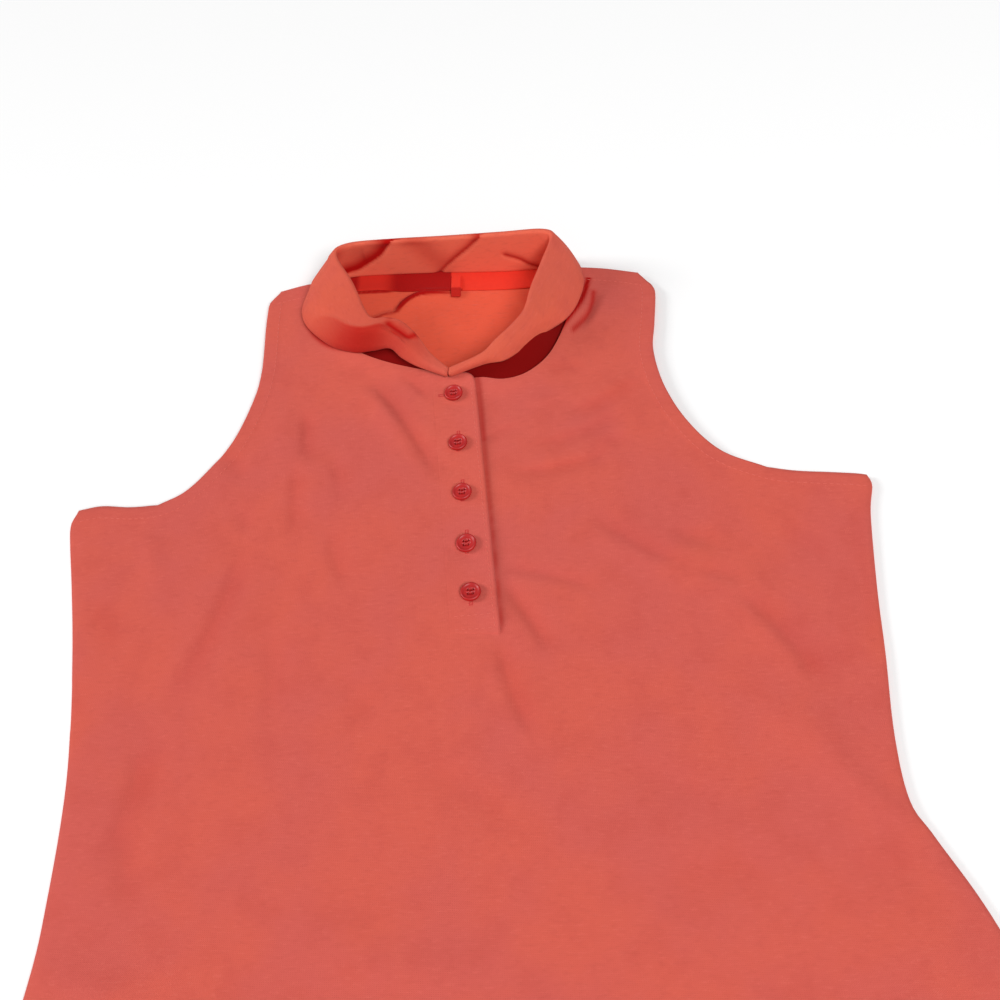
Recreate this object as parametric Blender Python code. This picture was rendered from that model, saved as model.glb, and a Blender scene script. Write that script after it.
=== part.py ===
"""A sleeveless polo shirt laid flat on its back, front up: front, back, turn-down collar,
two placket bands, neck tape with its tab, and five buttons.

X runs to the viewer's right, Y towards the neck and Z up from the surface it lies on.
Sizes and tables are in millimetres, measured from the middle of the chest line. The
meshes are in metres, with the origin under the middle of the whole shirt."""

from collections import namedtuple

import bpy
import numpy as np
from mathutils import Vector

MM = 0.001

# Walls, and the gap kept wherever two pieces are sewn or lie together.
CLOTH = 1.2
DOUBLE_CLOTH = 1.6
TAPE_CLOTH = 1.0
GAP = 0.3

# Height of each panel's middle surface where the two lie flat on each other.
BACK_LEVEL = CLOTH / 2
FRONT_LEVEL = BACK_LEVEL + CLOTH + GAP

# The front's left and right outlines, from the hem up to the underarm point.
SIDE_LEFT = ((-206, -470), (-199, -400), (-191, -330), (-181, -262), (-174.6, -215), (-174.4, -180),
             (-177, -140), (-182, -107), (-190, -68), (-198, -35), (-204.8, -9), (-206.8, 2), (-204.5, 10))
SIDE_RIGHT = ((236, -470), (234, -400), (229, -335), (218, -258), (203, -203), (188, -169),
              (181.6, -154), (182, -126), (187, -88), (191, -54), (197, -14), (201.5, 3), (200.5, 9.5))
# The nearly level foot of each armhole, inwards from the underarm point.
UNDERARM_LEFT = ((-204.5, 10), (-193, 12), (-178, 10.5), (-163, 11))
UNDERARM_RIGHT = ((152, 16.5), (166, 13.5), (184, 11.5), (200.5, 9.5))
# The steep part of each armhole, up to the shoulder.
ARMHOLE_LEFT = ((-163, 11), (-150, 18.5), (-139, 32), (-128, 51), (-120.5, 78), (-118.2, 100), (-119.8, 135),
                (-120, 152.5), (-114.5, 163))
ARMHOLE_RIGHT = ((152, 16.5), (130, 28.5), (115, 49), (105.5, 74), (102.2, 100), (105, 121), (107.9, 145),
                 (107, 153.5), (100, 162))
# From the chest line up to the corner between shoulder and neck, the panel's rows of points
# follow these curves, which keep clear of the neck seam.
LEAN_LEFT = ((-104, 82), (-97, 142))
LEAN_RIGHT = ((84, 82), (70, 142))
CHEST_Y = 10
SHOULDER_LEFT = ((-114.5, 163), (-101, 167), (-88.5, 169.2))
SHOULDER_RIGHT = ((60.5, 169.5), (80, 166.9), (100, 162))
# How far the back panel comes forward over the shoulder, outwards and down, at the armhole
# and at the neck.
SHOULDER_WRAP = ((5.6, 10), (0, 9))
SHOULDER_CLEAR = 4  # the armhole's own points stop this much short of the shoulder seam
HEM_Y = -470
WAIST_Y = -154  # where the right side turns out to the hips

# Placket: the top band's free edge, its width, and how far it laps over the right front.
BAND_TOP = (2.1, 84.7)
BAND_FOOT = (13.6, -70.5)
BAND_WIDTH = 23
BAND_LAP = 2
BAND_STEP = 0.2  # the band stands this much over the front at its seam
BAND_RISE = 1.7  # and climbs this much more to its free edge
BAND_CORNER = 5
UNDER_BAND_WIDTH = 20
UNDER_BAND_DROP = 1.5
HEM_CENTRE = (4, 26)  # where the placket's two seam lines would meet the hem
# Columns of points across the top band, closer together towards its rounded corner.
BAND_SHARES = (0, 0.25, 0.5, 0.7, 0.8, 0.88, 0.95, 1)
BAND_ROWS = 14

BUTTON_Y = (73, 39.8, 8.2, -22.4, -49.8)
BUTTON_INSET = 11.5
BUTTON_RADIUS = 5
BUTTON_HEIGHT = 2.2
BUTTON_RIM = 1.1
BUTTON_DISH = 0.6
BUTTON_BEVEL = 0.4
BUTTON_SIDES = 20
THREAD_HOLE_SIDES = 6
THREAD_HOLE_RADIUS = 0.75
THREAD_HOLE_SPACING = 2.2

TAPE_WIDTH = 13
TAPE_ENDS = (-73, 46)
TAPE_INSET = 3  # from the back neck seam, clear of the stand
TAB_CENTRE_X = -8.5
TAB_SIZE = (5, 13)
TAB_SET_DOWN = 2

# The collar, one row a section, from the right end at the centre front round the back of
# the neck to the left end: its neck seam, the top of its roll, its free edge, and how far
# the stand bellies in towards the neck between seam and roll, and the fall is lifted midway.
Section = namedtuple("Section", "seam_x seam_y roll_x roll_y roll_z edge_x edge_y edge_z belly lift")
COLLAR = [Section(*row) for row in (
    (-10.8, 87.4, -10.6, 85.5, 12.5, -10.3, 83.4, 9.8, 2, 0),
    (8, 82.6, 6.9, 91, 16.5, 8.2, 88.6, 12.4, 6, 0),
    (19, 81.5, 15.9, 98.5, 19.5, 19.4, 91, 12, 7, 0),
    (31, 86.8, 25.9, 107.9, 21.5, 30.6, 101, 10.5, 6, 0),
    (43, 99.5, 33, 117.8, 22.8, 40.6, 110.8, 9.4, 5, 0),
    (54, 119, 37.6, 134, 24.2, 54.6, 122.8, 8.5, 4, 0),
    (59.5, 140, 44.2, 152, 25.8, 64.6, 137.5, 7.6, 3, 0),
    (60.5, 160.2, 49.9, 169.4, 27.6, 69.2, 156, 6.6, 1, 0),
    (50, 171.2, 43.9, 174.4, 28.6, 59, 178, 3.4, 0, 0),
    (20, 172, 19.8, 174.6, 28, 21, 181, 3, 0, 0),
    (-14, 173.5, -15, 175.2, 27, -14, 182, 3, 0, 0),
    (-46, 174.9, -45.7, 176.4, 26, -48, 183, 3, 0, 0),
    (-76, 173.3, -71.4, 176.2, 24.6, -86, 180, 3.6, 0, 0),
    (-88.5, 159.9, -78.1, 168, 24.2, -97.3, 151, 6.7, 1, 0),
    (-87, 139, -67.7, 145.6, 23.8, -96, 132.5, 6.9, 2, 1.5),
    (-81, 124.5, -59.3, 124.1, 23, -80.5, 114, 7.5, 3, 4),
    (-70.5, 112.5, -54, 116.2, 23, -66.2, 106.4, 8.4, 4, 5),
    (-58, 103.5, -45.5, 115, 23.5, -54.8, 104.6, 10.5, 5, 5),
    (-45, 97, -37.7, 113, 22.5, -44, 102.6, 14, 5, 3.5),
    (-33, 92.6, -29.5, 105, 20, -37, 95.6, 13.4, 5, 2.5),
    (-21.6, 89.3, -21.5, 94, 15.8, -28, 89.6, 12.2, 4, 1),
    (-11.7, 87.5, -12, 85.5, 12.5, -12.5, 83.4, 9.8, 2, 0),
)]
# Rows of that table where the band ends and the shoulder seam meet the neck seam, and the
# stretch that the back panel carries.
RIGHT_BAND_ROW, RIGHT_SHOULDER_ROW = 1, 7
BACK_FIRST_ROW, BACK_LAST_ROW = 8, 12
LEFT_SHOULDER_ROW, LEFT_BAND_ROW = 13, 20
STAND_DROP = (150, 168)  # between these the stand's foot comes down onto the back panel
ROLL_RADIUS = 1.7
FALL_BELLY = 1.5
STAND_CELLS, ROLL_CELLS, FALL_CELLS = 5, 4, 4

# How much the front lifts off the back: over the middle, and round the neck seam.
CENTRE_LIFT = 1.8
CENTRE_HALF_WIDTH = 185
NECK_LIFT = 1.2
NECK_CENTRE = (-12, 128)
NECK_RADIUS = 48
NECK_FADE = 26

# The largest folds: two ends of each ridge, its height and the half width of its hump.
Fold = namedtuple("Fold", "x0 y0 x1 y1 height spread")
FOLDS = [Fold(*row) for row in (
    (-54, 82, -24, 34, 1.5, 9),
    (-92, 62, -86, 0, 1.1, 11),
    (-112, -18, -136, -98, 1.4, 13),
    (-150, -120, -162, -196, 1.1, 14),
    (62, -10, 120, -46, 1.8, 11),
    (118, -42, 158, -96, 1.6, 12),
    (18, -84, 34, -128, 1.3, 9),
    (58, 60, 92, 80, 1.2, 9),
    (168, -140, 128, -108, 1.6, 13),
    (182, -196, 130, -244, 1.5, 15),
    (-150, -300, -60, -350, 1.3, 16),
    (90, -360, 170, -410, 1.4, 16),
)]

# Cells across the panels, then up them.
Counts = namedtuple("Counts", "underarm shoulder neck slot skirt waist placket chest")
FRONT_COUNTS = Counts(underarm=3, shoulder=4, neck=10, slot=2, skirt=11, waist=4, placket=6, chest=12)
BACK_COUNTS = Counts(underarm=2, shoulder=3, neck=5, slot=1, skirt=8, waist=3, placket=3, chest=8)


FINE = 16  # points to each span where a curve is measured or shared by two pieces


def through(points, per_span=FINE):
    """The given points with per_span - 1 more between each two, on a Catmull-Rom curve."""
    points = np.asarray(points, float)
    ends = np.vstack([2 * points[0] - points[1], points, 2 * points[-1] - points[-2]])
    t = np.linspace(0, 1, per_span, endpoint=False)[:, None]
    spans = [0.5 * (2 * b + (c - a) * t + (2 * a - 5 * b + 4 * c - d) * t ** 2
                    + (3 * b - a - 3 * c + d) * t ** 3)
             for a, b, c, d in zip(ends, ends[1:], ends[2:], ends[3:])]
    return np.vstack([*spans, points[-1:]])


def lengths(points):
    """How far along its polyline each point lies, from 0 to 1."""
    steps = np.linalg.norm(np.diff(points, axis=0), axis=1)
    total = np.concatenate([[0], np.cumsum(steps)])
    return total / total[-1]


def spaced(points, count):
    """count + 1 points evenly along the smooth curve through the given ones."""
    fine = through(points)
    even = np.linspace(0, 1, count + 1)
    return np.column_stack([np.interp(even, lengths(fine), column) for column in fine.T])


def straight(start, end, count):
    """count + 1 points evenly along a straight line."""
    return np.linspace(start, end, count + 1)


def chain(*pieces):
    """Polylines joined end to end, with each shared point kept once."""
    return np.vstack([pieces[0], *[piece[1:] for piece in pieces[1:]]])


def patch(bottom, top, left, right):
    """The grid between four edges that share their corners: each pair of facing edges is
    blended, and the blend of the four corners is taken off once (a Coons patch)."""
    u = ((lengths(bottom) + lengths(top)) / 2)[None, :, None]
    v = ((lengths(left) + lengths(right)) / 2)[:, None, None]
    rows = (1 - v) * bottom[None] + v * top[None]
    columns = (1 - u) * left[:, None] + u * right[:, None]
    corners = ((1 - v) * ((1 - u) * bottom[0] + u * bottom[-1])
               + v * ((1 - u) * top[0] + u * top[-1]))
    return rows + columns - corners


def side_by_side(*grids):
    """Grids joined left to right, with each shared column kept once."""
    return np.hstack([grids[0], *[grid[:, 1:] for grid in grids[1:]]])


def band_edge(y):
    """X of the top band's free edge at height y."""
    slope = (BAND_FOOT[0] - BAND_TOP[0]) / (BAND_FOOT[1] - BAND_TOP[1])
    return BAND_TOP[0] + slope * (y - BAND_TOP[1])


def slot_left(y):
    return band_edge(y) - BAND_WIDTH - GAP


def slot_right(y):
    return band_edge(y) - BAND_LAP


def ridge(x, y, fold):
    """A soft hump along a line: full height in its middle, fading to nothing at both ends."""
    dx, dy = fold.x1 - fold.x0, fold.y1 - fold.y0
    along = ((x - fold.x0) * dx + (y - fold.y0) * dy) / (dx * dx + dy * dy)
    across = ((x - fold.x0) * dy - (y - fold.y0) * dx) / np.hypot(dx, dy)
    fade = np.sin(np.pi * np.clip(along, 0, 1)) ** 0.7
    return fold.height * fade * np.exp(-(across / fold.spread) ** 2)


def front_height(x, y):
    """Height of the front panel's middle surface over the ground."""
    across = np.clip(1 - (x / CENTRE_HALF_WIDTH) ** 2, 0, 1) ** 2
    up = np.clip((y - HEM_Y) / 200, 0, 1)
    dome = CENTRE_LIFT * across * up * up * (3 - 2 * up)
    from_neck = np.hypot(x - NECK_CENTRE[0], y - NECK_CENTRE[1]) - NECK_RADIUS
    neck = NECK_LIFT * np.exp(-(np.maximum(from_neck, 0) / NECK_FADE) ** 2)
    return FRONT_LEVEL + dome + neck + sum(ridge(x, y, fold) for fold in FOLDS)


def with_height(plan, height):
    """Plan points given their height by a function of x and y."""
    return np.dstack([plan, height(plan[..., 0], plan[..., 1])])


def neck_seam(first, last):
    """The collar's neck seam in plan, as a fine smooth line between two of its rows."""
    ring = through([(row.seam_x, row.seam_y) for row in COLLAR])
    return ring[first * FINE:last * FINE + 1]


def wrap(count, side, gap=0):
    """From the shoulder's fold to its seam, at count + 1 places from left to right."""
    out, down = np.linspace(*SHOULDER_WRAP, count + 1)[::-side].T
    return np.column_stack([side * out, -down - gap])


def side_seam(points, counts):
    """A side seam's points, at the same heights as the panel's rows."""
    fine = through(points)
    ys = heights(counts, points[-1][1])
    rising = fine[:np.argmax(fine[:, 1]) + 1]
    return np.column_stack([np.interp(ys, rising[:, 1], rising[:, 0]), ys])


def heights(counts, top):
    """Heights of a panel's rows from the hem to its top, by way of the waist and the
    placket's foot."""
    stretches = ((HEM_Y, WAIST_Y, counts.skirt), (WAIST_Y, BAND_FOOT[1], counts.waist),
                 (BAND_FOOT[1], top, counts.placket))
    return np.concatenate([[HEM_Y], *[np.linspace(a, b, n + 1)[1:] for a, b, n in stretches]])


def outline_middle():
    """Middle of the whole shirt's box in plan, which becomes the origin."""
    sides = np.vstack([through(SIDE_LEFT), through(SIDE_RIGHT)])
    top = max(row.edge_y for row in COLLAR)
    return np.array([(sides[:, 0].min() + sides[:, 0].max()) / 2, (HEM_Y + top) / 2, 0])


MIDDLE = outline_middle()


def finish(colour, roughness, name):
    material = bpy.data.materials.new(name)
    material.use_nodes = True
    shader = material.node_tree.nodes["Principled BSDF"]
    shader.inputs["Base Color"].default_value = (*colour, 1)
    shader.inputs["Roughness"].default_value = roughness
    shader.inputs["Metallic"].default_value = 0
    return material


def add_mesh(name, vertices, faces, material):
    """One named object from points in the tables' millimetres."""
    mesh = bpy.data.meshes.new(name)
    mesh.from_pydata(((vertices - MIDDLE) * MM).tolist(), [], faces)
    mesh.materials.append(material)
    mesh.shade_smooth()
    piece = bpy.data.objects.new(name, mesh)
    bpy.context.scene.collection.objects.link(piece)
    return piece


def grid_normals(points, cells):
    """Unit normals of a grid's points, each the mean of its cells'."""
    diagonal_a = points[1:, 1:] - points[:-1, :-1]
    diagonal_b = points[1:, :-1] - points[:-1, 1:]
    facing = np.cross(diagonal_a, diagonal_b) * cells[..., None]
    normals = np.zeros_like(points)
    for rows in (slice(None, -1), slice(1, None)):
        for columns in (slice(None, -1), slice(1, None)):
            normals[rows, columns] += facing
    size = np.linalg.norm(normals, axis=2, keepdims=True)
    return normals / np.where(size > 0, size, 1)


def cloth(name, points, thickness, material, cells=None):
    """A grid of points given a wall: one skin half the thickness above it and one below,
    joined round the rim. cells marks which of the grid's cells are there."""
    height, width = points.shape[:2]
    if cells is None:
        cells = np.ones((height - 1, width - 1), bool)
    offset = grid_normals(points, cells) * thickness / 2
    skins = np.vstack([(points + offset).reshape(-1, 3), (points - offset).reshape(-1, 3)])
    under = height * width
    faces, edges = [], set()
    for i, j in np.argwhere(cells).tolist():
        a = i * width + j
        loop = (a, a + 1, a + width + 1, a + width)
        faces.append(loop)
        faces.append(tuple(corner + under for corner in reversed(loop)))
        edges.update(zip(loop, loop[1:] + loop[:1]))
    faces += [(b, a, a + under, b + under) for a, b in sorted(edges) if (b, a) not in edges]
    used = np.unique(np.concatenate([np.array(face) for face in faces]))
    place = np.zeros(len(skins), int)
    place[used] = np.arange(len(used))
    return add_mesh(name, skins[used], [place[list(face)].tolist() for face in faces], material)


def slot_sides(counts, neck_y):
    """The placket's two seam lines, carried on down to the hem: each as its body stretch,
    from the hem to the chest line, and its chest stretch, from there to the neck."""
    sides = []
    for slot, hem_x, top_y in zip((slot_left, slot_right), HEM_CENTRE, neck_y):
        ys = heights(counts, CHEST_Y)
        foot = BAND_FOOT[1]
        below = hem_x + (slot(foot) - hem_x) * (ys - HEM_Y) / (foot - HEM_Y)
        body = np.column_stack([np.where(ys < foot, below, slot(ys)), ys])
        sides.append((body, straight(body[-1], (slot(top_y), top_y), counts.chest)))
    return sides


def armhole(points, top, count):
    """An armhole's steep edge from the underarm up to a point on the shoulder."""
    return spaced([*[point for point in points[:-1] if point[1] < top[1] - SHOULDER_CLEAR], top], count)


def panel(counts, left_top, middle_top, right_top):
    """Plan of a panel as one grid, and which cells it has: body rows across the whole
    width, then chest rows between the armholes. Its top edge comes in three stretches, of
    which the middle one spans the placket's slot."""
    shoulder, neck = counts.shoulder, counts.neck
    side = shoulder + neck
    (left_low, left_high), (right_low, right_high) = slot_sides(counts, middle_top[[0, -1], 1])
    arm_left = armhole(ARMHOLE_LEFT, left_top[0], counts.chest)
    arm_right = armhole(ARMHOLE_RIGHT, right_top[-1], counts.chest)
    chest_left = straight(arm_left[0], left_high[0], side)
    chest_middle = straight(left_high[0], right_high[0], counts.slot)
    chest_right = straight(right_high[0], arm_right[0], side)
    lean_left = spaced([chest_left[shoulder], *LEAN_LEFT, left_top[shoulder]], counts.chest)
    lean_right = spaced([chest_right[neck], *LEAN_RIGHT, right_top[neck]], counts.chest)
    chest = side_by_side(
        patch(chest_left[:shoulder + 1], left_top[:shoulder + 1], arm_left, lean_left),
        patch(chest_left[shoulder:], left_top[shoulder:], lean_left, left_high),
        patch(chest_middle, middle_top, left_high, right_high),
        patch(chest_right[:neck + 1], right_top[:neck + 1], right_high, lean_right),
        patch(chest_right[neck:], right_top[neck:], lean_right, arm_right))

    rows = counts.skirt + counts.waist + counts.placket
    wide = side + counts.underarm
    body = side_by_side(
        patch(straight(SIDE_LEFT[0], left_low[0], wide),
              chain(spaced(UNDERARM_LEFT, counts.underarm), chest_left),
              side_seam(SIDE_LEFT, counts), left_low),
        patch(straight(left_low[0], right_low[0], counts.slot), chest_middle, left_low, right_low),
        patch(straight(right_low[0], SIDE_RIGHT[0], wide),
              chain(chest_right, spaced(UNDERARM_RIGHT, counts.underarm)), right_low,
              side_seam(SIDE_RIGHT, counts)))

    plan = np.repeat(body[-1:], rows + counts.chest + 1, axis=0)
    plan[:rows] = body[:-1]
    plan[rows:, counts.underarm:-counts.underarm] = chest
    cells = np.ones((plan.shape[0] - 1, plan.shape[1] - 1), bool)
    cells[rows:, :counts.underarm] = False
    cells[rows:, -counts.underarm:] = False
    return plan, cells


def front_panel(material):
    """The front, in one piece, with the slot that the placket bands fill."""
    counts = FRONT_COUNTS
    left_top = chain(spaced(SHOULDER_LEFT, counts.shoulder) + wrap(counts.shoulder, -1, GAP),
                     spaced(neck_seam(LEFT_SHOULDER_ROW, LEFT_BAND_ROW), counts.neck))
    right_top = chain(spaced(neck_seam(RIGHT_BAND_ROW, RIGHT_SHOULDER_ROW), counts.neck),
                      spaced(SHOULDER_RIGHT, counts.shoulder) + wrap(counts.shoulder, 1, GAP))
    left_top[-1] = slot_left(left_top[-1, 1]), left_top[-1, 1]
    right_top[0] = slot_right(right_top[0, 1]), right_top[0, 1]
    plan, cells = panel(counts, left_top, straight(left_top[-1], right_top[0], counts.slot), right_top)
    side = counts.underarm + counts.shoulder + counts.neck
    cells[counts.skirt + counts.waist:, side:side + counts.slot] = False
    return cloth("front_panel", with_height(plan, front_height), CLOTH, material, cells)


def back_panel(material):
    """The back, flat on the ground, with each shoulder wrapped forward to the front's seam."""
    counts = BACK_COUNTS
    neck = spaced([SHOULDER_LEFT[-1], *neck_seam(BACK_FIRST_ROW, BACK_LAST_ROW)[::-1],
                   SHOULDER_RIGHT[0]], 2 * counts.neck + counts.slot)
    left_top = chain(spaced(SHOULDER_LEFT, counts.shoulder), neck[:counts.neck + 1])
    right_top = chain(neck[-counts.neck - 1:], spaced(SHOULDER_RIGHT, counts.shoulder))
    plan, cells = panel(counts, left_top, neck[counts.neck:counts.neck + counts.slot + 1], right_top)
    flat = with_height(plan, lambda x, y: np.full_like(x, BACK_LEVEL))

    columns = flat.shape[1]
    first = counts.underarm
    last = columns - first - counts.shoulder - 1
    seam = np.zeros((columns, 2))
    seam[first:first + counts.shoulder + 1] = wrap(counts.shoulder, -1)
    seam[last:last + counts.shoulder + 1] = wrap(counts.shoulder, 1)
    strap = seam[:, 1] < 0
    x, y = flat[-1, :, 0], flat[-1, :, 1].copy()
    landing_x, landing_y = x + seam[:, 0], y + seam[:, 1]
    landing = front_height(landing_x, landing_y)
    radius = np.where(strap, (landing - BACK_LEVEL) / 2, 0)
    flat[-1, :, 1] -= radius
    turns = [np.column_stack([x, y + radius * (np.cos(turn) - 1), BACK_LEVEL + radius * (1 + np.sin(turn))])
             for turn in np.linspace(-np.pi / 2, np.pi / 2, 5)[1:]]
    points = np.stack([*flat, *turns, np.column_stack([landing_x, landing_y, landing])])
    folded = np.tile(strap[:-1] & strap[1:], (len(turns) + 1, 1))
    return cloth("back_panel", points, CLOTH, material, np.vstack([cells, folded]))


def collar(material):
    """The collar, one sewn double layer: a stand that rises from the neck seam, a roll and
    a fall that turns down outside it."""
    rows = through(np.array(COLLAR, float), 2)
    column = dict(zip(Section._fields, rows.T))
    seam = np.column_stack([column["seam_x"], column["seam_y"]])
    tangent = np.gradient(seam, axis=0)
    tangent /= np.linalg.norm(tangent, axis=1, keepdims=True)
    inward = np.column_stack([-tangent[:, 1], tangent[:, 0], np.zeros(len(rows))])
    seam = seam + inward[:, :2] * (DOUBLE_CLOTH / 2 + GAP)
    on_back = np.clip((seam[:, 1] - STAND_DROP[0]) / (STAND_DROP[1] - STAND_DROP[0]), 0, 1)
    on_front = front_height(seam[:, 0], seam[:, 1])
    seam_z = on_front + (BACK_LEVEL + CLOTH / 2 + 1.5 * GAP - on_front) * on_back
    start = np.column_stack([seam, seam_z])
    roll = rows[:, 2:5]
    edge = rows[:, 5:8]
    rise = np.array([0, 0, 1.0])
    inner = roll + inward * ROLL_RADIUS - rise * ROLL_RADIUS
    outer = roll - inward * ROLL_RADIUS - rise * ROLL_RADIUS
    belly = (start + inner) / 2 + inward * column["belly"][:, None]
    hang = (outer + edge) / 2 - inward * FALL_BELLY + rise * (FALL_BELLY + column["lift"][:, None])
    section = []
    for t in np.linspace(0, 1, STAND_CELLS + 1):
        section.append((1 - t) ** 2 * start + 2 * t * (1 - t) * belly + t * t * inner)
    for turn in np.linspace(0, np.pi, ROLL_CELLS + 1)[1:-1]:
        section.append(roll + (inward * np.cos(turn) + rise * (np.sin(turn) - 1)) * ROLL_RADIUS)
    for t in np.linspace(0, 1, FALL_CELLS + 1):
        section.append((1 - t) ** 2 * outer + 2 * t * (1 - t) * hang + t * t * edge)
    return cloth("collar", np.stack(section, axis=1), DOUBLE_CLOTH, material)


def seam_height(x, first, last):
    """Y of the neck seam between two of the collar's rows, at x."""
    seam = neck_seam(first, last)
    order = np.argsort(seam[:, 0])
    return np.interp(x, seam[order, 0], seam[order, 1])


def band_top(x):
    """Y of the neck seam across the placket: the collar's two ends and the span between."""
    left, right = COLLAR[LEFT_BAND_ROW], COLLAR[RIGHT_BAND_ROW]
    return np.interp(x, (left.seam_x, COLLAR[-1].seam_x, COLLAR[0].seam_x, right.seam_x),
                     (left.seam_y, COLLAR[-1].seam_y, COLLAR[0].seam_y, right.seam_y))


def band_grid(shares, start, width, height):
    """A placket band's points: shares across it from start leftwards, rows up its length."""
    ups = np.linspace(0, 1, BAND_ROWS + 1)[:, None]
    foot = BAND_FOOT[1] + GAP
    top = band_top(start(BAND_TOP[1]) - width * (1 - shares)) - GAP
    y = foot + (top - foot) * ups
    x = start(y) - width * (1 - shares)
    return x, y, height(x, y)


def placket_top(material):
    """The buttonhole band: flush with the left front at its seam, lying over the right."""
    shares = np.array(BAND_SHARES)[None, :]
    x, y, z = band_grid(shares, band_edge, BAND_WIDTH, front_height)
    past = np.clip(BAND_CORNER - BAND_WIDTH * (1 - shares), 0, BAND_CORNER)
    cut = BAND_CORNER - np.sqrt(BAND_CORNER ** 2 - past ** 2)
    foot = y[0]
    y = foot + (y - foot) * (1 - cut / (y[-1] - foot))
    z = z + BAND_STEP + BAND_RISE * shares
    return cloth("placket_top", np.dstack([x, y, z]), DOUBLE_CLOTH, material)


def placket_under(material):
    """The button band, under the other and sewn to the right front's side of the slot."""
    shares = np.linspace(0, 1, 5)[None, :]
    x, y, z = band_grid(shares, lambda height: slot_right(height) - GAP, UNDER_BAND_WIDTH, front_height)
    return cloth("placket_under", np.dstack([x, y, z - UNDER_BAND_DROP * (1 - shares)]), CLOTH, material)


def tape_level(layers):
    """Middle height of a strip of tape on the back panel's inner face, and of one on that."""
    return BACK_LEVEL + CLOTH / 2 + (GAP + TAPE_CLOTH) * layers - TAPE_CLOTH / 2


def neck_tape(material):
    """The tape that covers the back neck seam inside."""
    x = np.linspace(*TAPE_ENDS, 23)[None, :]
    top = seam_height(x, BACK_FIRST_ROW, BACK_LAST_ROW) - TAPE_INSET
    y = top - TAPE_WIDTH * (1 - np.linspace(0, 1, 3)[:, None])
    x = np.broadcast_to(x, y.shape)
    return cloth("neck_tape", np.dstack([x, y, np.full_like(y, tape_level(1))]), TAPE_CLOTH, material)


def neck_tab(material):
    """The small folded tab sewn on the tape at the centre back."""
    width, height = TAB_SIZE
    x = TAB_CENTRE_X + np.linspace(-width / 2, width / 2, 3)[None, :]
    top = seam_height(TAB_CENTRE_X, BACK_FIRST_ROW, BACK_LAST_ROW) - TAPE_INSET - TAB_SET_DOWN
    y = top - height * (1 - np.linspace(0, 1, 5)[:, None])
    x, y = np.broadcast_arrays(x, y)
    return cloth("neck_tab", np.dstack([x, y, np.full_like(y, tape_level(2))]), TAPE_CLOTH, material)


def button_mesh(material):
    """A turned disc with a raised rim, pierced by four thread holes."""
    outer, dish = BUTTON_RADIUS, BUTTON_RADIUS - BUTTON_RIM
    bevel = BUTTON_BEVEL
    profile = ((outer - bevel, 0), (outer, bevel),
               (outer, BUTTON_HEIGHT - bevel), (outer - bevel, BUTTON_HEIGHT),
               (dish, BUTTON_HEIGHT), (dish - bevel, BUTTON_HEIGHT - BUTTON_DISH))
    angles = np.linspace(0, 2 * np.pi, BUTTON_SIDES, endpoint=False)
    rings = [np.column_stack([r * np.cos(angles), r * np.sin(angles), np.full(BUTTON_SIDES, z)])
             for r, z in profile]
    faces = [tuple(reversed(range(BUTTON_SIDES)))]
    for ring in range(len(profile) - 1):
        for side in range(BUTTON_SIDES):
            a = ring * BUTTON_SIDES + side
            b = ring * BUTTON_SIDES + (side + 1) % BUTTON_SIDES
            faces.append((a, b, b + BUTTON_SIDES, a + BUTTON_SIDES))
    last = (len(profile) - 1) * BUTTON_SIDES
    faces.append(tuple(range(last, last + BUTTON_SIDES)))
    return add_mesh("button_cutout", np.vstack(rings) + MIDDLE, faces, material)


def thread_holes(blank):
    """Four pins through a button blank, as the cutter for its thread holes."""
    half = THREAD_HOLE_SPACING / 2
    corners = [(sx * half, sy * half) for sx in (-1, 1) for sy in (-1, 1)]
    sides = THREAD_HOLE_SIDES
    angles = np.linspace(0, 2 * np.pi, sides, endpoint=False)
    vertices, faces = [], []
    for x, y in corners:
        first = len(vertices)
        for z in (-1, BUTTON_HEIGHT + 1):
            vertices += [(x + THREAD_HOLE_RADIUS * np.cos(a), y + THREAD_HOLE_RADIUS * np.sin(a), z)
                         for a in angles]
        low = [first + k for k in range(sides)]
        high = [corner + sides for corner in low]
        faces += [tuple(reversed(low)), tuple(high)]
        faces += zip(low, low[1:] + low[:1], high[1:] + high[:1], high)
    cutter = add_mesh("thread_holes", np.array(vertices) + MIDDLE, faces, blank.data.materials[0])
    cutter.hide_render = True
    cutter.display_type = "WIRE"
    cut = blank.modifiers.new("thread_holes", "BOOLEAN")
    cut.operation = "DIFFERENCE"
    cut.solver = "EXACT"
    cut.object = cutter
    bpy.context.view_layer.update()
    holed = bpy.data.meshes.new_from_object(blank.evaluated_get(bpy.context.evaluated_depsgraph_get()))
    bpy.data.objects.remove(blank)
    bpy.data.objects.remove(cutter)
    return holed


def band_surface(y):
    """The button's seat at height y: a point on the band's upper face and the band's normal."""
    x = band_edge(y) - BUTTON_INSET
    share = 1 - BUTTON_INSET / BAND_WIDTH

    def level(px, py):
        return front_height(px, py) + BAND_STEP + BAND_RISE * (share + (px - x) / BAND_WIDTH)

    slope_x = (level(x + 1, y) - level(x - 1, y)) / 2
    slope_y = (level(x, y + 1) - level(x, y - 1)) / 2
    normal = Vector((-slope_x, -slope_y, 1)).normalized()
    return Vector((x, y, level(x, y))) + normal * (DOUBLE_CLOTH / 2 + GAP), normal


def buttons(material):
    holed = thread_holes(button_mesh(material))
    holed.name = "button"
    for number, y in enumerate(BUTTON_Y, 1):
        seat, normal = band_surface(y)
        button = bpy.data.objects.new(f"button_{number}", holed)
        button.location = (seat - Vector(MIDDLE)) * MM
        button.rotation_euler = normal.to_track_quat("Z", "Y").to_euler()
        bpy.context.scene.collection.objects.link(button)


for old in list(bpy.data.objects):
    bpy.data.objects.remove(old)

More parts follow.
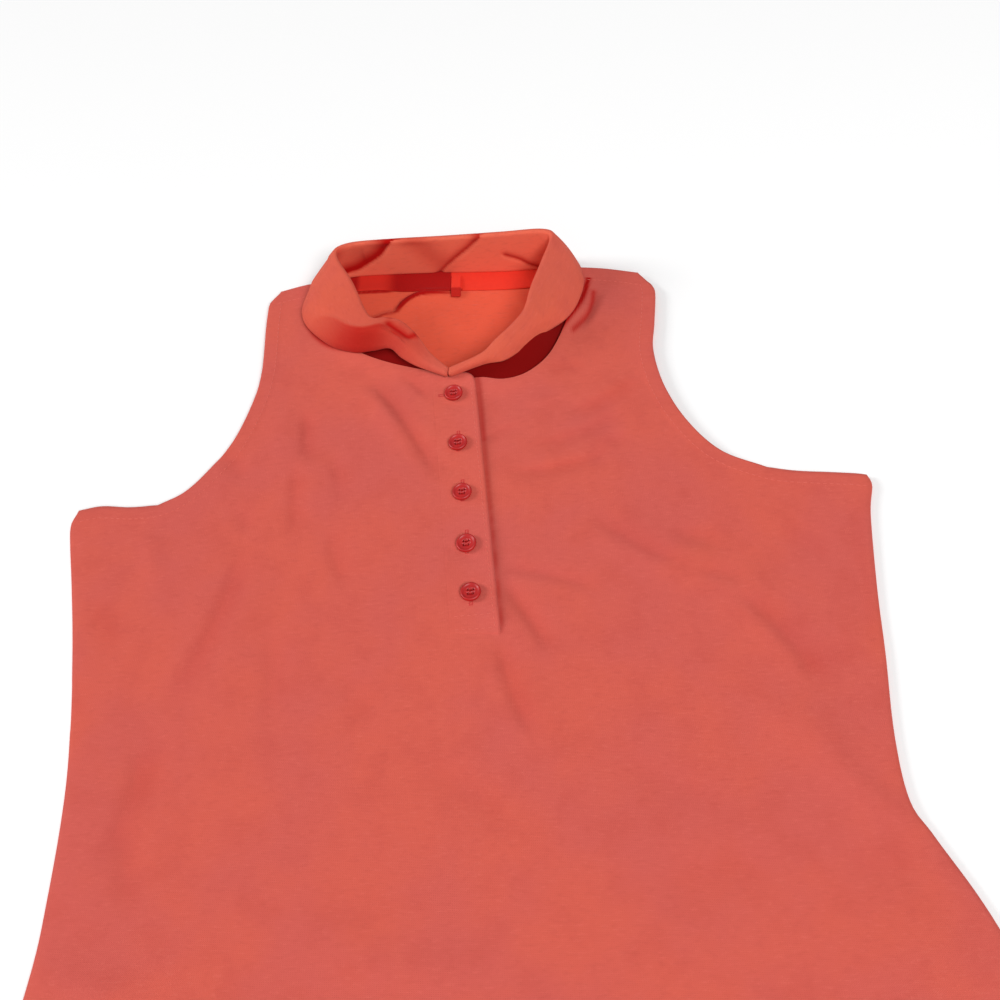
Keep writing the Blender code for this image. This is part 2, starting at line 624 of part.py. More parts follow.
jersey = finish((0.67, 0.115, 0.085), 0.9, "coral_jersey")
front_panel(jersey)
back_panel(jersey)
collar(finish((0.69, 0.125, 0.09), 0.9, "coral_collar"))
placket_top(finish((0.66, 0.11, 0.08), 0.9, "coral_band"))
placket_under(finish((0.6, 0.1, 0.075), 0.9, "coral_under_band"))
neck_tape(finish((0.8, 0.05, 0.03), 0.8, "red_tape"))
neck_tab(finish((0.82, 0.07, 0.05), 0.8, "red_tab"))
buttons(finish((0.5, 0.014, 0.012), 0.35, "red_button"))
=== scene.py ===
"""A sleeveless polo shirt of coral jersey, laid flat on its back with its collar standing.

Tables are in millimetres from the middle of the chest line, as the shirt lies: X to the
viewer's right, Y from hem to neck, Z up off the surface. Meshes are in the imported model's
metres."""

from collections import namedtuple

import bpy
import numpy as np
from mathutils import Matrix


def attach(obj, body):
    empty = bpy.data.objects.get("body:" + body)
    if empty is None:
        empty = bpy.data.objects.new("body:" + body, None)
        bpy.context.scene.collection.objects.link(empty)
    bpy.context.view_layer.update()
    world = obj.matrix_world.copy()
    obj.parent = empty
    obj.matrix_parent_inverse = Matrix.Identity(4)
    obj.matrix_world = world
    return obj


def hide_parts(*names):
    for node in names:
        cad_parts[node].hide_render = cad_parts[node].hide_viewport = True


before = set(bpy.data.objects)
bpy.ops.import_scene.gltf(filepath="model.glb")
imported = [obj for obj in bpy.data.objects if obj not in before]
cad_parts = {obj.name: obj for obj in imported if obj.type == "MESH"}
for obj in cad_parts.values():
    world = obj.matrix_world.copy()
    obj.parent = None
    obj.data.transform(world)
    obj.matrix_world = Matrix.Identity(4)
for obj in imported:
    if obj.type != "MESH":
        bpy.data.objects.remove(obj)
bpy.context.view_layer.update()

# ---------------------------------------------------------------------------------------
# The view and the light: the shirt is seen from above its waist, tilted back towards the
# neck, on a plain white surface. A broad lamp stands before it, another rakes it from the
# left so that the creases show, and a white room fills the shadows.
CAMERA_AT = (0.0205, -0.1294, 0.4169)
CAMERA_TURN = (33.72, 3.41, -0.98)  # degrees, as X, Y and Z turns
CAMERA_LENS = 35.28
SENSOR = 36


def placed(name, data):
    """A new object in the scene with the given data."""
    made = bpy.data.objects.new(name, data)
    bpy.context.scene.collection.objects.link(made)
    return made


camera_data = bpy.data.cameras.new("view")
camera_data.lens, camera_data.sensor_width = CAMERA_LENS, SENSOR
camera = placed("view", camera_data)
camera.location = CAMERA_AT
camera.rotation_euler = np.radians(CAMERA_TURN)
bpy.context.scene.camera = camera
bpy.context.scene.view_settings.view_transform = "Standard"

Lamp = namedtuple("Lamp", "x y z size power")
LAMPS = {
    "front_lamp": Lamp(1.5, -2.2, 3.2, 1.8, 125),
    "raking_lamp": Lamp(-5.4, 0.75, 2.4, 1.8, 185),
}
for name, lamp in LAMPS.items():
    light = bpy.data.lights.new(name, "AREA")
    light.size, light.energy = lamp.size, lamp.power
    holder = placed(name, light)
    holder.location = (lamp.x, lamp.y, lamp.z)
    holder.rotation_euler = (-holder.location).to_track_quat("-Z", "Y").to_euler()

ROOM_WHITE = (1.0, 1.0, 1.0, 1)
ROOM_LEVEL = 0.35
world = bpy.data.worlds.new("white_room")
world.use_nodes = True
world.node_tree.nodes["Background"].inputs["Color"].default_value = ROOM_WHITE
world.node_tree.nodes["Background"].inputs["Strength"].default_value = ROOM_LEVEL
bpy.context.scene.world = world

FLOOR_HALF = 3.0
FLOOR_DROP = 0.0004  # metres the surface lies below the cloth, so that they never mix
FLOOR_ROUGHNESS = 0.8
floor_mesh = bpy.data.meshes.new("floor")
corners = [(sx * FLOOR_HALF, sy * FLOOR_HALF, -FLOOR_DROP)
           for sx, sy in ((-1, -1), (1, -1), (1, 1), (-1, 1))]
floor_mesh.from_pydata(corners, [], [(0, 1, 2, 3)])
floor = placed("floor", floor_mesh)
floor_paint = bpy.data.materials.new("white_surface")
floor_paint.use_nodes = True
floor_skin = floor_paint.node_tree.nodes["Principled BSDF"]
floor_skin.inputs["Base Color"].default_value = ROOM_WHITE
floor_skin.inputs["Roughness"].default_value = FLOOR_ROUGHNESS
floor_mesh.materials.append(floor_paint)

# ---------------------------------------------------------------------------------------
# Front: one piece of soft cotton jersey, hem to shoulders, slit for the placket. It is sewn
# to the back at both sides and, over the shoulders, to the back's forward wrap. Its
# armholes and hem are turned in once and stitched.
MM = 0.001
CLOTH = 1.2  # the jersey's wall
GAP = 0.3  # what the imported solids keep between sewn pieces
BACK_LEVEL = CLOTH / 2
FRONT_LEVEL = BACK_LEVEL + CLOTH + GAP

SIDE_LEFT = ((-206, -470), (-199, -400), (-191, -330), (-181, -262), (-174.6, -215),
             (-174.4, -180), (-177, -140), (-182, -107), (-190, -68), (-198, -35), (-204.8, -9),
             (-206.8, 2), (-204.5, 10))
SIDE_RIGHT = ((236, -470), (234, -400), (229, -335), (218, -258), (203, -203), (188, -169),
              (181.6, -154), (182, -126), (187, -88), (191, -54), (197, -14), (201.5, 3),
              (200.5, 9.5))
UNDERARM_LEFT = ((-204.5, 10), (-193, 12), (-178, 10.5), (-163, 11))
UNDERARM_RIGHT = ((152, 16.5), (166, 13.5), (184, 11.5), (200.5, 9.5))
ARMHOLE_LEFT = ((-163, 11), (-150, 18.5), (-139, 32), (-128, 51), (-120.5, 78), (-118.2, 100),
                (-119.8, 135), (-120, 152.5), (-114.5, 163))
ARMHOLE_RIGHT = ((152, 16.5), (130, 28.5), (115, 49), (105.5, 74), (102.2, 100), (105, 121),
                 (107.9, 145), (107, 153.5), (100, 162))
LEAN_LEFT = ((-104, 82), (-97, 142))  # the grid's curve up to the corner of shoulder and neck
LEAN_RIGHT = ((84, 82), (70, 142))
CHEST_Y, HEM_Y, WAIST_Y = 10, -470, -154
SHOULDER_LEFT = ((-114.5, 163), (-101, 167), (-88.5, 169.2))
SHOULDER_RIGHT = ((60.5, 169.5), (80, 166.9), (100, 162))
SHOULDER_WRAP = ((5.6, 10), (0, 9))  # out and down to the shoulder seam, at armhole and neck
SHOULDER_CLEAR = 4  # how far below the shoulder the armhole's own points stop
HEM_CENTRE = (4, 26)  # X where the placket's two lines, carried on down, meet the hem

# The placket's band: its free edge, width and lap, which the front's slit follows.
BAND_TOP, BAND_FOOT = (2.1, 84.7), (13.6, -70.5)
BAND_WIDTH, BAND_LAP = 23, 2

# The neck seam, from the right end at the centre front round the back to the left end, with
# the rest of the collar's own table beside it: the top of its roll, its free edge, how far
# the stand bellies in towards the neck, and how much higher the middle of the fall lies.
Section = namedtuple("Section", "seam_x seam_y roll_x roll_y roll_z edge_x edge_y edge_z "
                                "belly lift")
COLLAR = [Section(*row) for row in (
    (-10.8, 87.4, -10.6, 85.5, 12.5, -10.3, 83.4, 9.8, 2, 0),
    (8, 82.6, 6.9, 91, 16.5, 8.2, 88.6, 12.4, 6, 0),
    (19.6, 80.8, 15.9, 98.5, 19.5, 19.4, 91, 12, 7, 0),
    (32.4, 85.4, 25.9, 107.9, 21.5, 30.6, 101, 10.5, 6, 0),
    (44.6, 98, 33, 117.8, 22.8, 40.6, 110.8, 9.4, 5, 0),
    (54, 119, 37.6, 134, 24.2, 54.6, 122.8, 8.5, 4, 0),
    (59.5, 140, 44.2, 152, 25.8, 63, 138, 7.6, 3, 0),
    (60.5, 160.2, 49.9, 169.4, 27.6, 66.6, 157, 6.6, 1, 0),
    (50, 171.2, 43.9, 174.4, 28.6, 59, 178, 3.4, 0, 0),
    (20, 172, 19.8, 174.6, 28, 21, 181, 3, 0, 0),
    (-14, 173.5, -15, 175.2, 27, -14, 182, 3, 0, 0),
    (-46, 174.9, -45.7, 176.4, 26, -48, 183, 3, 0, 0),
    (-76, 173.3, -71.4, 176.2, 24.6, -86, 180, 3.6, 0, 0),
    (-88.5, 159.9, -78.1, 168, 24.2, -97.3, 151, 6.7, 1, 0),
    (-87, 139, -67.7, 145.6, 23.8, -96, 132.5, 6.9, 2, 1.5),
    (-81, 124.5, -59.3, 124.1, 23, -80.5, 114, 7.5, 3, 4),
    (-70.5, 112.5, -54, 116.2, 23, -66.2, 106.4, 8.4, 4, 5),
    (-58, 103.5, -45.5, 115, 23.5, -54.8, 104.6, 10.5, 5, 5),
    (-45, 97, -37.7, 113, 22.5, -44, 102.6, 14, 5, 3.5),
    (-33, 92.6, -29.5, 105, 20, -37, 95.6, 13.4, 5, 2.5),
    (-21.6, 89.3, -21.5, 94, 15.8, -28, 89.6, 12.2, 4, 1),
    (-11.7, 87.5, -12, 85.5, 12.5, -12.5, 83.4, 9.8, 2, 0),
)]
RIGHT_BAND_ROW, RIGHT_SHOULDER_ROW = 1, 7
BACK_FIRST_ROW, BACK_LAST_ROW = 8, 12
LEFT_SHOULDER_ROW, LEFT_BAND_ROW = 13, 20

# How much the front lifts off the back: over the middle, from the hem up, and round the neck
# seam, where its cut edge stands up as a lip against the collar.
CENTRE_LIFT, CENTRE_HALF_WIDTH, CENTRE_FADE = 1.8, 185, 200
NECK_LIFT, NECK_CENTRE, NECK_RADIUS, NECK_FADE = 1.2, (-12, 128), 48, 26
LIP_RISE, LIP_FADE, LIP_ENDS = 2.4, 6.5, (150, 128)
SIDE_TUCK, SIDE_TUCK_FADE = 0.45, 2.5  # the front comes down onto the back at the side seams
# The turned hem and armholes: how wide, how much the second layer raises them, and how
# softly its edge shows.
HEM_TURN, ARMHOLE_TURN, TURN_STEP, TURN_SOFT = 20, 8, 0.2, 2
SETTLE = 0.15  # how softly a trough's floor meets the back

# The large folds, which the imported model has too.
FOLD_FULLNESS = 0.7  # the power that keeps a fold high over most of its length
Fold = namedtuple("Fold", "x0 y0 x1 y1 height spread")
FOLDS = [Fold(*row) for row in (
    (-54, 82, -24, 34, 1.5, 9),
    (-92, 62, -86, 0, 1.1, 11),
    (-112, -18, -136, -98, 1.4, 13),
    (-150, -120, -162, -196, 1.1, 14),
    (62, -10, 120, -46, 1.8, 11),
    (118, -42, 158, -96, 1.6, 12),
    (18, -84, 34, -128, 1.3, 9),
    (58, 60, 92, 80, 1.2, 9),
    (168, -140, 128, -108, 1.6, 13),
    (182, -196, 130, -244, 1.5, 15),
    (-150, -300, -60, -350, 1.3, 16),
    (90, -360, 170, -410, 1.4, 16),
)]
# Smaller creases, each bowed sideways by its middle: a ridge, or a trough where the height is
# negative. Their two sides, the viewer's left and right of a line that runs down the picture,
# have their own widths, and the narrow side is the steep one.
CREASE_END = 1 / 3  # the share of its length over which it fades in at either end
Crease = namedtuple("Crease", "x0 y0 x1 y1 bow height left right")
FRONT_CREASES = [Crease(*row) for row in (
    (-58, 92, -14, 14, 2, -2.0, 2.8, 8),
    (-38, 90, -22, 70, 1, -1.0, 2.2, 5),
    (-66, 86, -40, 48, 3, 0.9, 6, 4),
    (-30, 62, -20, 40, 1, 0.6, 4, 5),
    (-90, 72, -86, 30, -1, -1.5, 3, 7),
    (-92, 36, -89, -14, -1, -1.2, 2.6, 7),
    (-103, 80, -104, 20, 2, 0.7, 7, 5),
    (-74, 40, -66, 2, 1, -0.8, 3, 6),
    (-70, -6, -60, -46, -2, -1.1, 3, 8),
    (-112, -8, -142, -108, 4, -1.9, 4, 10),
    (-102, -30, -126, -104, 4, 0.9, 7, 8),
    (-141, -104, -158, -176, 3, -1.3, 4.5, 9),
    (-150, -150, -142, -190, 2, -0.9, 4, 7),
    (-188, -40, -170, -76, 2, -1.2, 4, 7),
    (-192, -84, -180, -112, 2, -0.9, 4, 6),
    (-166, -2, -158, -40, 2, 0.9, 5, 6),
    (-152, -118, -138, -148, 2, -0.9, 4, 6),
    (-136, 44, -118, 22, 2, -0.9, 4, 6),
    (-122, 8, -112, -10, 1, -0.8, 4, 6),
    (-96, -60, -92, -116, 2, -0.8, 4, 9),
    (-60, -84, -50, -116, 2, -0.6, 5, 8),
    (11, -40, 38, -84, 2, -1.7, 2.6, 6),
    (14, -36, 66, -52, 2, -1.0, 2.2, 5),
    (14, -40, 30, -36, 1, -0.6, 2.2, 4),
    (13, -68, 32, -128, -4, -1.8, 3, 8),
    (4, 41, 28, 52, 1, -0.9, 5, 2.4),
    (16, 20, 76, 33, -3, -1.5, 6, 3),
    (28, 34, 88, 62, -3, -1.3, 6, 3.4),
    (50, 56, 96, 84, -3, -1.9, 7, 3.4),
    (60, 26, 84, 44, 2, -1.0, 6, 4),
    (26, 64, 62, 78, -2, 0.9, 4, 6),
    (74, 152, 60, 116, 2.5, -1.8, 1.8, 3),
    (80, 150, 67, 116, 2.5, 0.9, 3, 4),
    (40, 86, 66, 92, 2, -0.9, 6, 3),
    (56, -4, 116, -44, -3, -1.7, 4, 9),
    (96, -20, 126, -28, 1, -0.9, 5, 5),
    (106, -40, 134, -50, 1, -1.4, 3.5, 7),
    (122, -48, 160, -104, 3, -1.9, 4, 10),
    (146, -96, 176, -82, 1, -1.2, 7, 4),
    (88, -24, 150, -62, 2, 0.8, 8, 9),
    (150, -20, 176, -38, 1, -1.0, 5, 7),
    (192, -2, 184, -90, 0, -1.0, 5, 3),
    (184, -164, 148, -126, 4, 1.2, 6, 9),
    (186, -174, 148, -178, 3, -1.0, 7, 4),
    (-30, -130, 20, -162, 4, -0.8, 7, 9),
    (60, -130, 110, -150, -3, -0.7, 8, 7),
    (-70, -200, 10, -214, -4, 0.8, 8, 10),
    (70, -190, 130, -176, 3, -0.8, 9, 7),
    (-180, -210, -120, -230, 4, 0.9, 7, 9),
    (196, -250, 120, -290, 6, 1.0, 7, 11),
    (-176, -270, -90, -310, -6, 0.9, 8, 12),
    (30, -310, 60, -400, 5, -0.9, 8, 10),
    (-100, -360, -40, -430, 5, 0.8, 9, 12),
    (140, -330, 210, -350, 2, -0.7, 9, 7),
)]
TOUCHING = 1.84  # the front's middle surface where it lies on the back
# Painted shade on the front where pinched folds, the collar's leaves and the placket's edge
# keep it in shade: how wide and how deep it is, along a line in plan.
Shade = namedtuple("Shade", "width deep line")
FRONT_SHADES = [Shade(*row) for row in (
    (1.5, 1.35, ((71.5, 164), (69.9, 156.8), (66.5, 144.6), (61.1, 132.9), (53, 119.3), (49, 112))),
    (1.7, 0.8, ((72.6, 147.4), (71.2, 139.4), (68, 130.4), (62.5, 121.7), (58.8, 116.5))),
    (1.9, 0.9, ((-96, 139), (-94.6, 133), (-89.7, 124), (-82, 116), (-71.8, 111), (-60, 108.6))),
    (1.1, 0.5, ((3.8, 83), (6.5, 48), (9.4, 8), (15.1, -69))),
    (1.3, 0.8, ((3.8, 84), (5.2, 66), (6.9, 42))),
)]
SHADE_FINE = 40  # points to each span of these lines
CREASE_SHADE = 0.06  # how much painted shade the front gets for each millimetre that a crease sinks

# Cells of a panel's grid along each stretch of its edges: across it, then up it.
Counts = namedtuple("Counts", "underarm shoulder neck slot skirt waist placket chest")
FRONT_COUNTS = Counts(underarm=20, shoulder=25, neck=50, slot=12,
                      skirt=100, waist=34, placket=34, chest=76)
FINE = 16  # points to each span of a curve
LAP_POINTS = 12  # and along the right front's neck edge under the placket's band


def through(points, per_span=FINE):
    """The given points with per_span - 1 more between each two, on a Catmull-Rom curve:
    each span is the cubic that leaves and meets its ends along their neighbours' chord."""
    points = np.asarray(points, float)
    ends = np.vstack([2 * points[0] - points[1], points, 2 * points[-1] - points[-2]])
    t = np.linspace(0, 1, per_span, endpoint=False)[:, None]
    spans = [0.5 * (2 * b + (c - a) * t + (2 * a - 5 * b + 4 * c - d) * t ** 2
                    + (3 * b - a - 3 * c + d) * t ** 3)
             for a, b, c, d in zip(ends, ends[1:], ends[2:], ends[3:])]
    return np.vstack([*spans, points[-1:]])


def lengths(points):
    """How far along its polyline each point lies, from 0 to 1."""
    steps = np.linalg.norm(np.diff(points, axis=0), axis=1)
    total = np.concatenate([[0], np.cumsum(steps)])
    return total / total[-1]


def spaced(points, count):
    """count + 1 points evenly along the smooth curve through the given ones."""
    fine = through(points)
    even = np.linspace(0, 1, count + 1)
    return np.column_stack([np.interp(even, lengths(fine), column) for column in fine.T])


def straight(start, end, count):
    """count + 1 points evenly along a straight line."""
    return np.linspace(start, end, count + 1)


def chain(*pieces):
    """Polylines joined end to end, with each shared point kept once."""
    return np.vstack([pieces[0], *[piece[1:] for piece in pieces[1:]]])


def patch(bottom, top, left, right):
    """The grid between four edges that share their corners: each pair of facing edges is
    blended, and the blend of the four corners is taken off once (a Coons patch)."""
    u = ((lengths(bottom) + lengths(top)) / 2)[None, :, None]
    v = ((lengths(left) + lengths(right)) / 2)[:, None, None]
    rows = (1 - v) * bottom[None] + v * top[None]
    columns = (1 - u) * left[:, None] + u * right[:, None]
    corners = ((1 - v) * ((1 - u) * bottom[0] + u * bottom[-1])
               + v * ((1 - u) * top[0] + u * top[-1]))
    return rows + columns - corners


def side_by_side(*grids):
    """Grids joined left to right, with each shared column kept once."""
    return np.hstack([grids[0], *[grid[:, 1:] for grid in grids[1:]]])


def ease(value):
    """0 below 0, 1 above 1, and a smooth S between: three squares less two cubes."""
    value = np.clip(value, 0, 1)
    return value * value * (3 - 2 * value)


def band_edge(y):
    """X of the top band's free edge at height y: a straight line."""
    slope = (BAND_FOOT[0] - BAND_TOP[0]) / (BAND_FOOT[1] - BAND_TOP[1])
    return BAND_TOP[0] + slope * (y - BAND_TOP[1])


def slot_left(y):
    return band_edge(y) - BAND_WIDTH


def slot_right(y):
    return band_edge(y) - BAND_LAP


def ridge(x, y, fold):
    """A soft hump along a line: a bell across it, and a power of a half sine along it."""
    dx, dy = fold.x1 - fold.x0, fold.y1 - fold.y0
    along = ((x - fold.x0) * dx + (y - fold.y0) * dy) / (dx * dx + dy * dy)
    across = ((x - fold.x0) * dy - (y - fold.y0) * dx) / np.hypot(dx, dy)
    fade = np.sin(np.pi * np.clip(along, 0, 1)) ** FOLD_FULLNESS
    return fold.height * fade * np.exp(-(across / fold.spread) ** 2)


def crease(x, y, line):
    """A bowed crease: a bell across it with its own width on each side, its middle moved
    sideways by a half sine, and both ends faded in over a third of its length."""
    dx, dy = line.x1 - line.x0, line.y1 - line.y0
    along = np.clip(((x - line.x0) * dx + (y - line.y0) * dy) / (dx * dx + dy * dy), 0, 1)
    aside = ((y - line.y0) * dx - (x - line.x0) * dy) / np.hypot(dx, dy)
    across = aside - line.bow * np.sin(np.pi * along)
    width = np.where(across < 0, line.left, line.right)
    ends = ease(along / CREASE_END) * ease((1 - along) / CREASE_END)
    return line.height * ends * np.exp(-(across / width) ** 2)


def neck_seam(first, last):
    """The neck seam in plan, as a fine smooth line between two of the collar's rows."""
    ring = through([(row.seam_x, row.seam_y) for row in COLLAR])
    return ring[first * FINE:last * FINE + 1]


def away(x, y, line):
    """How far each point lies from the nearest point of a fine line."""
    squares = (x[..., None] - line[:, 0]) ** 2 + (y[..., None] - line[:, 1]) ** 2
    return np.sqrt(squares.min(axis=-1))


def plain_front_height(x, y):
    """Height of the front's middle surface before its small creases: the level it lies at,
    a dome over the middle, a swell round the neck and the large folds."""
    across = np.clip(1 - (x / CENTRE_HALF_WIDTH) ** 2, 0, 1) ** 2
    up = np.clip((y - HEM_Y) / CENTRE_FADE, 0, 1)
    dome = CENTRE_LIFT * across * up * up * (3 - 2 * up)
    from_neck = np.hypot(x - NECK_CENTRE[0], y - NECK_CENTRE[1]) - NECK_RADIUS
    neck = NECK_LIFT * np.exp(-(np.maximum(from_neck, 0) / NECK_FADE) ** 2)
    return FRONT_LEVEL + dome + neck + sum(ridge(x, y, fold) for fold in FOLDS)


ARM_CURVES = (through([*UNDERARM_LEFT[:-1], *ARMHOLE_LEFT[:-1]]),
              through([*ARMHOLE_RIGHT[:-1][::-1], *UNDERARM_RIGHT[1:]]))


def front_height(x, y):
    """Height of the front's middle surface: the plain height, its creases, the neck's lip,
    the tuck at the side seams and the steps of the turned hem and armholes."""
    x, y = np.broadcast_arrays(np.asarray(x, float), np.asarray(y, float))
    creased = sum(crease(x, y, line) for line in FRONT_CREASES)
    neck = np.vstack([neck_seam(0, RIGHT_SHOULDER_ROW),
                      neck_seam(LEFT_SHOULDER_ROW, len(COLLAR) - 1)])
    lip = LIP_RISE * np.exp(-(away(x, y, neck) / LIP_FADE) ** 2)
    lip = lip * ease((y - LIP_ENDS[0]) / (LIP_ENDS[1] - LIP_ENDS[0]))
    sides = [through(SIDE_LEFT), through(SIDE_RIGHT)]
    inside = np.minimum(x - np.interp(y, sides[0][:, 1], sides[0][:, 0]),
                        np.interp(y, sides[1][:, 1], sides[1][:, 0]) - x)
    tuck = SIDE_TUCK * np.exp(-(np.maximum(inside, 0) / SIDE_TUCK_FADE) ** 2) * (y < CHEST_Y)
    arm = np.minimum(away(x, y, ARM_CURVES[0]), away(x, y, ARM_CURVES[1]))
    turned = np.maximum(ease((HEM_TURN - y + HEM_Y) / TURN_SOFT + 0.5),
                        ease((ARMHOLE_TURN - arm) / TURN_SOFT + 0.5))
    over = plain_front_height(x, y) + creased - TOUCHING
    settled = TOUCHING + (over + np.sqrt(over * over + SETTLE ** 2)) / 2
    return settled + lip - tuck + TURN_STEP * turned


def with_height(plan, height):
    """Plan points given their height by a function of x and y."""
    return np.dstack([plan, height(plan[..., 0], plan[..., 1])])


def wrap(count, side):
    """From the shoulder's fold to its seam, at count + 1 places from left to right."""
    out, down = np.linspace(*SHOULDER_WRAP, count + 1)[::-side].T
    return np.column_stack([side * out, -down])


def heights(counts, top):
    """Heights of a panel's rows from the hem to its top, by way of the waist and the
    placket's foot."""
    stretches = ((HEM_Y, WAIST_Y, counts.skirt), (WAIST_Y, BAND_FOOT[1], counts.waist),
                 (BAND_FOOT[1], top, counts.placket))
    return np.concatenate([[HEM_Y], *[np.linspace(a, b, n + 1)[1:] for a, b, n in stretches]])


def side_seam(points, counts):
    """A side seam's points, at the same heights as the panel's rows."""
    fine = through(points)
    ys = heights(counts, points[-1][1])
    rising = fine[:np.argmax(fine[:, 1]) + 1]
    return np.column_stack([np.interp(ys, rising[:, 1], rising[:, 0]), ys])


def slot_sides(counts, neck_y):
    """The placket's two seam lines, carried on down to the hem: each as its body stretch,
    from the hem to the chest line, and its chest stretch, from there to the neck."""
    sides = []
    for slot, hem_x, top_y in zip((slot_left, slot_right), HEM_CENTRE, neck_y):
        ys = heights(counts, CHEST_Y)
        foot = BAND_FOOT[1]
        below = hem_x + (slot(foot) - hem_x) * (ys - HEM_Y) / (foot - HEM_Y)
        body = np.column_stack([np.where(ys < foot, below, slot(ys)), ys])
        sides.append((body, straight(body[-1], (slot(top_y), top_y), counts.chest)))
    return sides


def armhole(points, top, count):
    """An armhole's steep edge from the underarm up to a point on the shoulder."""
    below = [point for point in points[:-1] if point[1] < top[1] - SHOULDER_CLEAR]
    return spaced([*below, top], count)


def panel(counts, left_top, middle_top, right_top):
    """Plan of a panel as one grid, and which cells it has: body rows across the whole
    width, then chest rows between the armholes. Its top edge comes in three stretches, of
    which the middle one spans the placket's slot."""
    shoulder, neck = counts.shoulder, counts.neck
    side = shoulder + neck
    (left_low, left_high), (right_low, right_high) = slot_sides(counts, middle_top[[0, -1], 1])
    arm_left = armhole(ARMHOLE_LEFT, left_top[0], counts.chest)
    arm_right = armhole(ARMHOLE_RIGHT, right_top[-1], counts.chest)
    chest_left = straight(arm_left[0], left_high[0], side)
    chest_middle = straight(left_high[0], right_high[0], counts.slot)
    chest_right = straight(right_high[0], arm_right[0], side)
    lean_left = spaced([chest_left[shoulder], *LEAN_LEFT, left_top[shoulder]], counts.chest)
    lean_right = spaced([chest_right[neck], *LEAN_RIGHT, right_top[neck]], counts.chest)
    chest = side_by_side(
        patch(chest_left[:shoulder + 1], left_top[:shoulder + 1], arm_left, lean_left),
        patch(chest_left[shoulder:], left_top[shoulder:], lean_left, left_high),
        patch(chest_middle, middle_top, left_high, right_high),
        patch(chest_right[:neck + 1], right_top[:neck + 1], right_high, lean_right),
        patch(chest_right[neck:], right_top[neck:], lean_right, arm_right))

    rows = counts.skirt + counts.waist + counts.placket
    wide = side + counts.underarm
    body = side_by_side(
        patch(straight(SIDE_LEFT[0], left_low[0], wide),
              chain(spaced(UNDERARM_LEFT, counts.underarm), chest_left),
              side_seam(SIDE_LEFT, counts), left_low),
        patch(straight(left_low[0], right_low[0], counts.slot), chest_middle, left_low, right_low),
        patch(straight(right_low[0], SIDE_RIGHT[0], wide),
              chain(chest_right, spaced(UNDERARM_RIGHT, counts.underarm)), right_low,
              side_seam(SIDE_RIGHT, counts)))

    plan = np.repeat(body[-1:], rows + counts.chest + 1, axis=0)
    plan[:rows] = body[:-1]
    plan[rows:, counts.underarm:-counts.underarm] = chest
    cells = np.ones((plan.shape[0] - 1, plan.shape[1] - 1), bool)
    cells[rows:, :counts.underarm] = False
    cells[rows:, -counts.underarm:] = False
    return plan, cells


def outline_middle():
    """Middle of the whole shirt's box in plan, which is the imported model's origin."""
    sides = np.vstack([through(SIDE_LEFT), through(SIDE_RIGHT)])
    top = max(row.edge_y for row in COLLAR)
    return np.array([(sides[:, 0].min() + sides[:, 0].max()) / 2, (HEM_Y + top) / 2, 0])


MIDDLE = outline_middle()


def add_mesh(name, vertices, quads, material, uv=None, deep=None, square=None):
    """One object from the tables' millimetres, with its points' cloth coordinates and the painted
    shade on each. Edges between two square points stay hard."""
    mesh = bpy.data.meshes.new(name)
    mesh.vertices.add(len(vertices))
    mesh.vertices.foreach_set("co", ((vertices - MIDDLE) * MM).ravel())
    mesh.loops.add(quads.size)
    mesh.loops.foreach_set("vertex_index", quads.ravel())
    mesh.polygons.add(len(quads))
    mesh.polygons.foreach_set("loop_start", np.arange(0, quads.size, quads.shape[1]))
    mesh.polygons.foreach_set("use_smooth", np.ones(len(quads), bool))
    mesh.update(calc_edges=True)
    if uv is not None:
        mesh.uv_layers.new(name="cloth").data.foreach_set("uv", (uv[quads.ravel()] * MM).ravel())
        mesh.attributes.new("deep", "FLOAT", "POINT").data.foreach_set("value", deep)
        ends = np.empty(2 * len(mesh.edges), int)
        mesh.edges.foreach_get("vertices", ends)
        hard = square[ends.reshape(-1, 2)].all(axis=1)
        mesh.attributes.new("sharp_edge", "BOOLEAN", "EDGE").data.foreach_set("value", hard)
    mesh.validate()
    mesh.materials.append(material)
    piece = placed(name, mesh)
    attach(piece, "root")
    return piece


def grid_normals(points, cells):
    """Unit normals of a grid's points: the crossed diagonals of the cells round each one."""
    facing = np.cross(points[1:, 1:] - points[:-1, :-1], points[1:, :-1] - points[:-1, 1:])
    facing = facing * cells[..., None]
    normals = np.zeros_like(points)
    for rows in (slice(None, -1), slice(1, None)):
        for columns in (slice(None, -1), slice(1, None)):
            normals[rows, columns] += facing
    size = np.linalg.norm(normals, axis=2, keepdims=True)
    return normals / np.where(size > 0, size, 1)


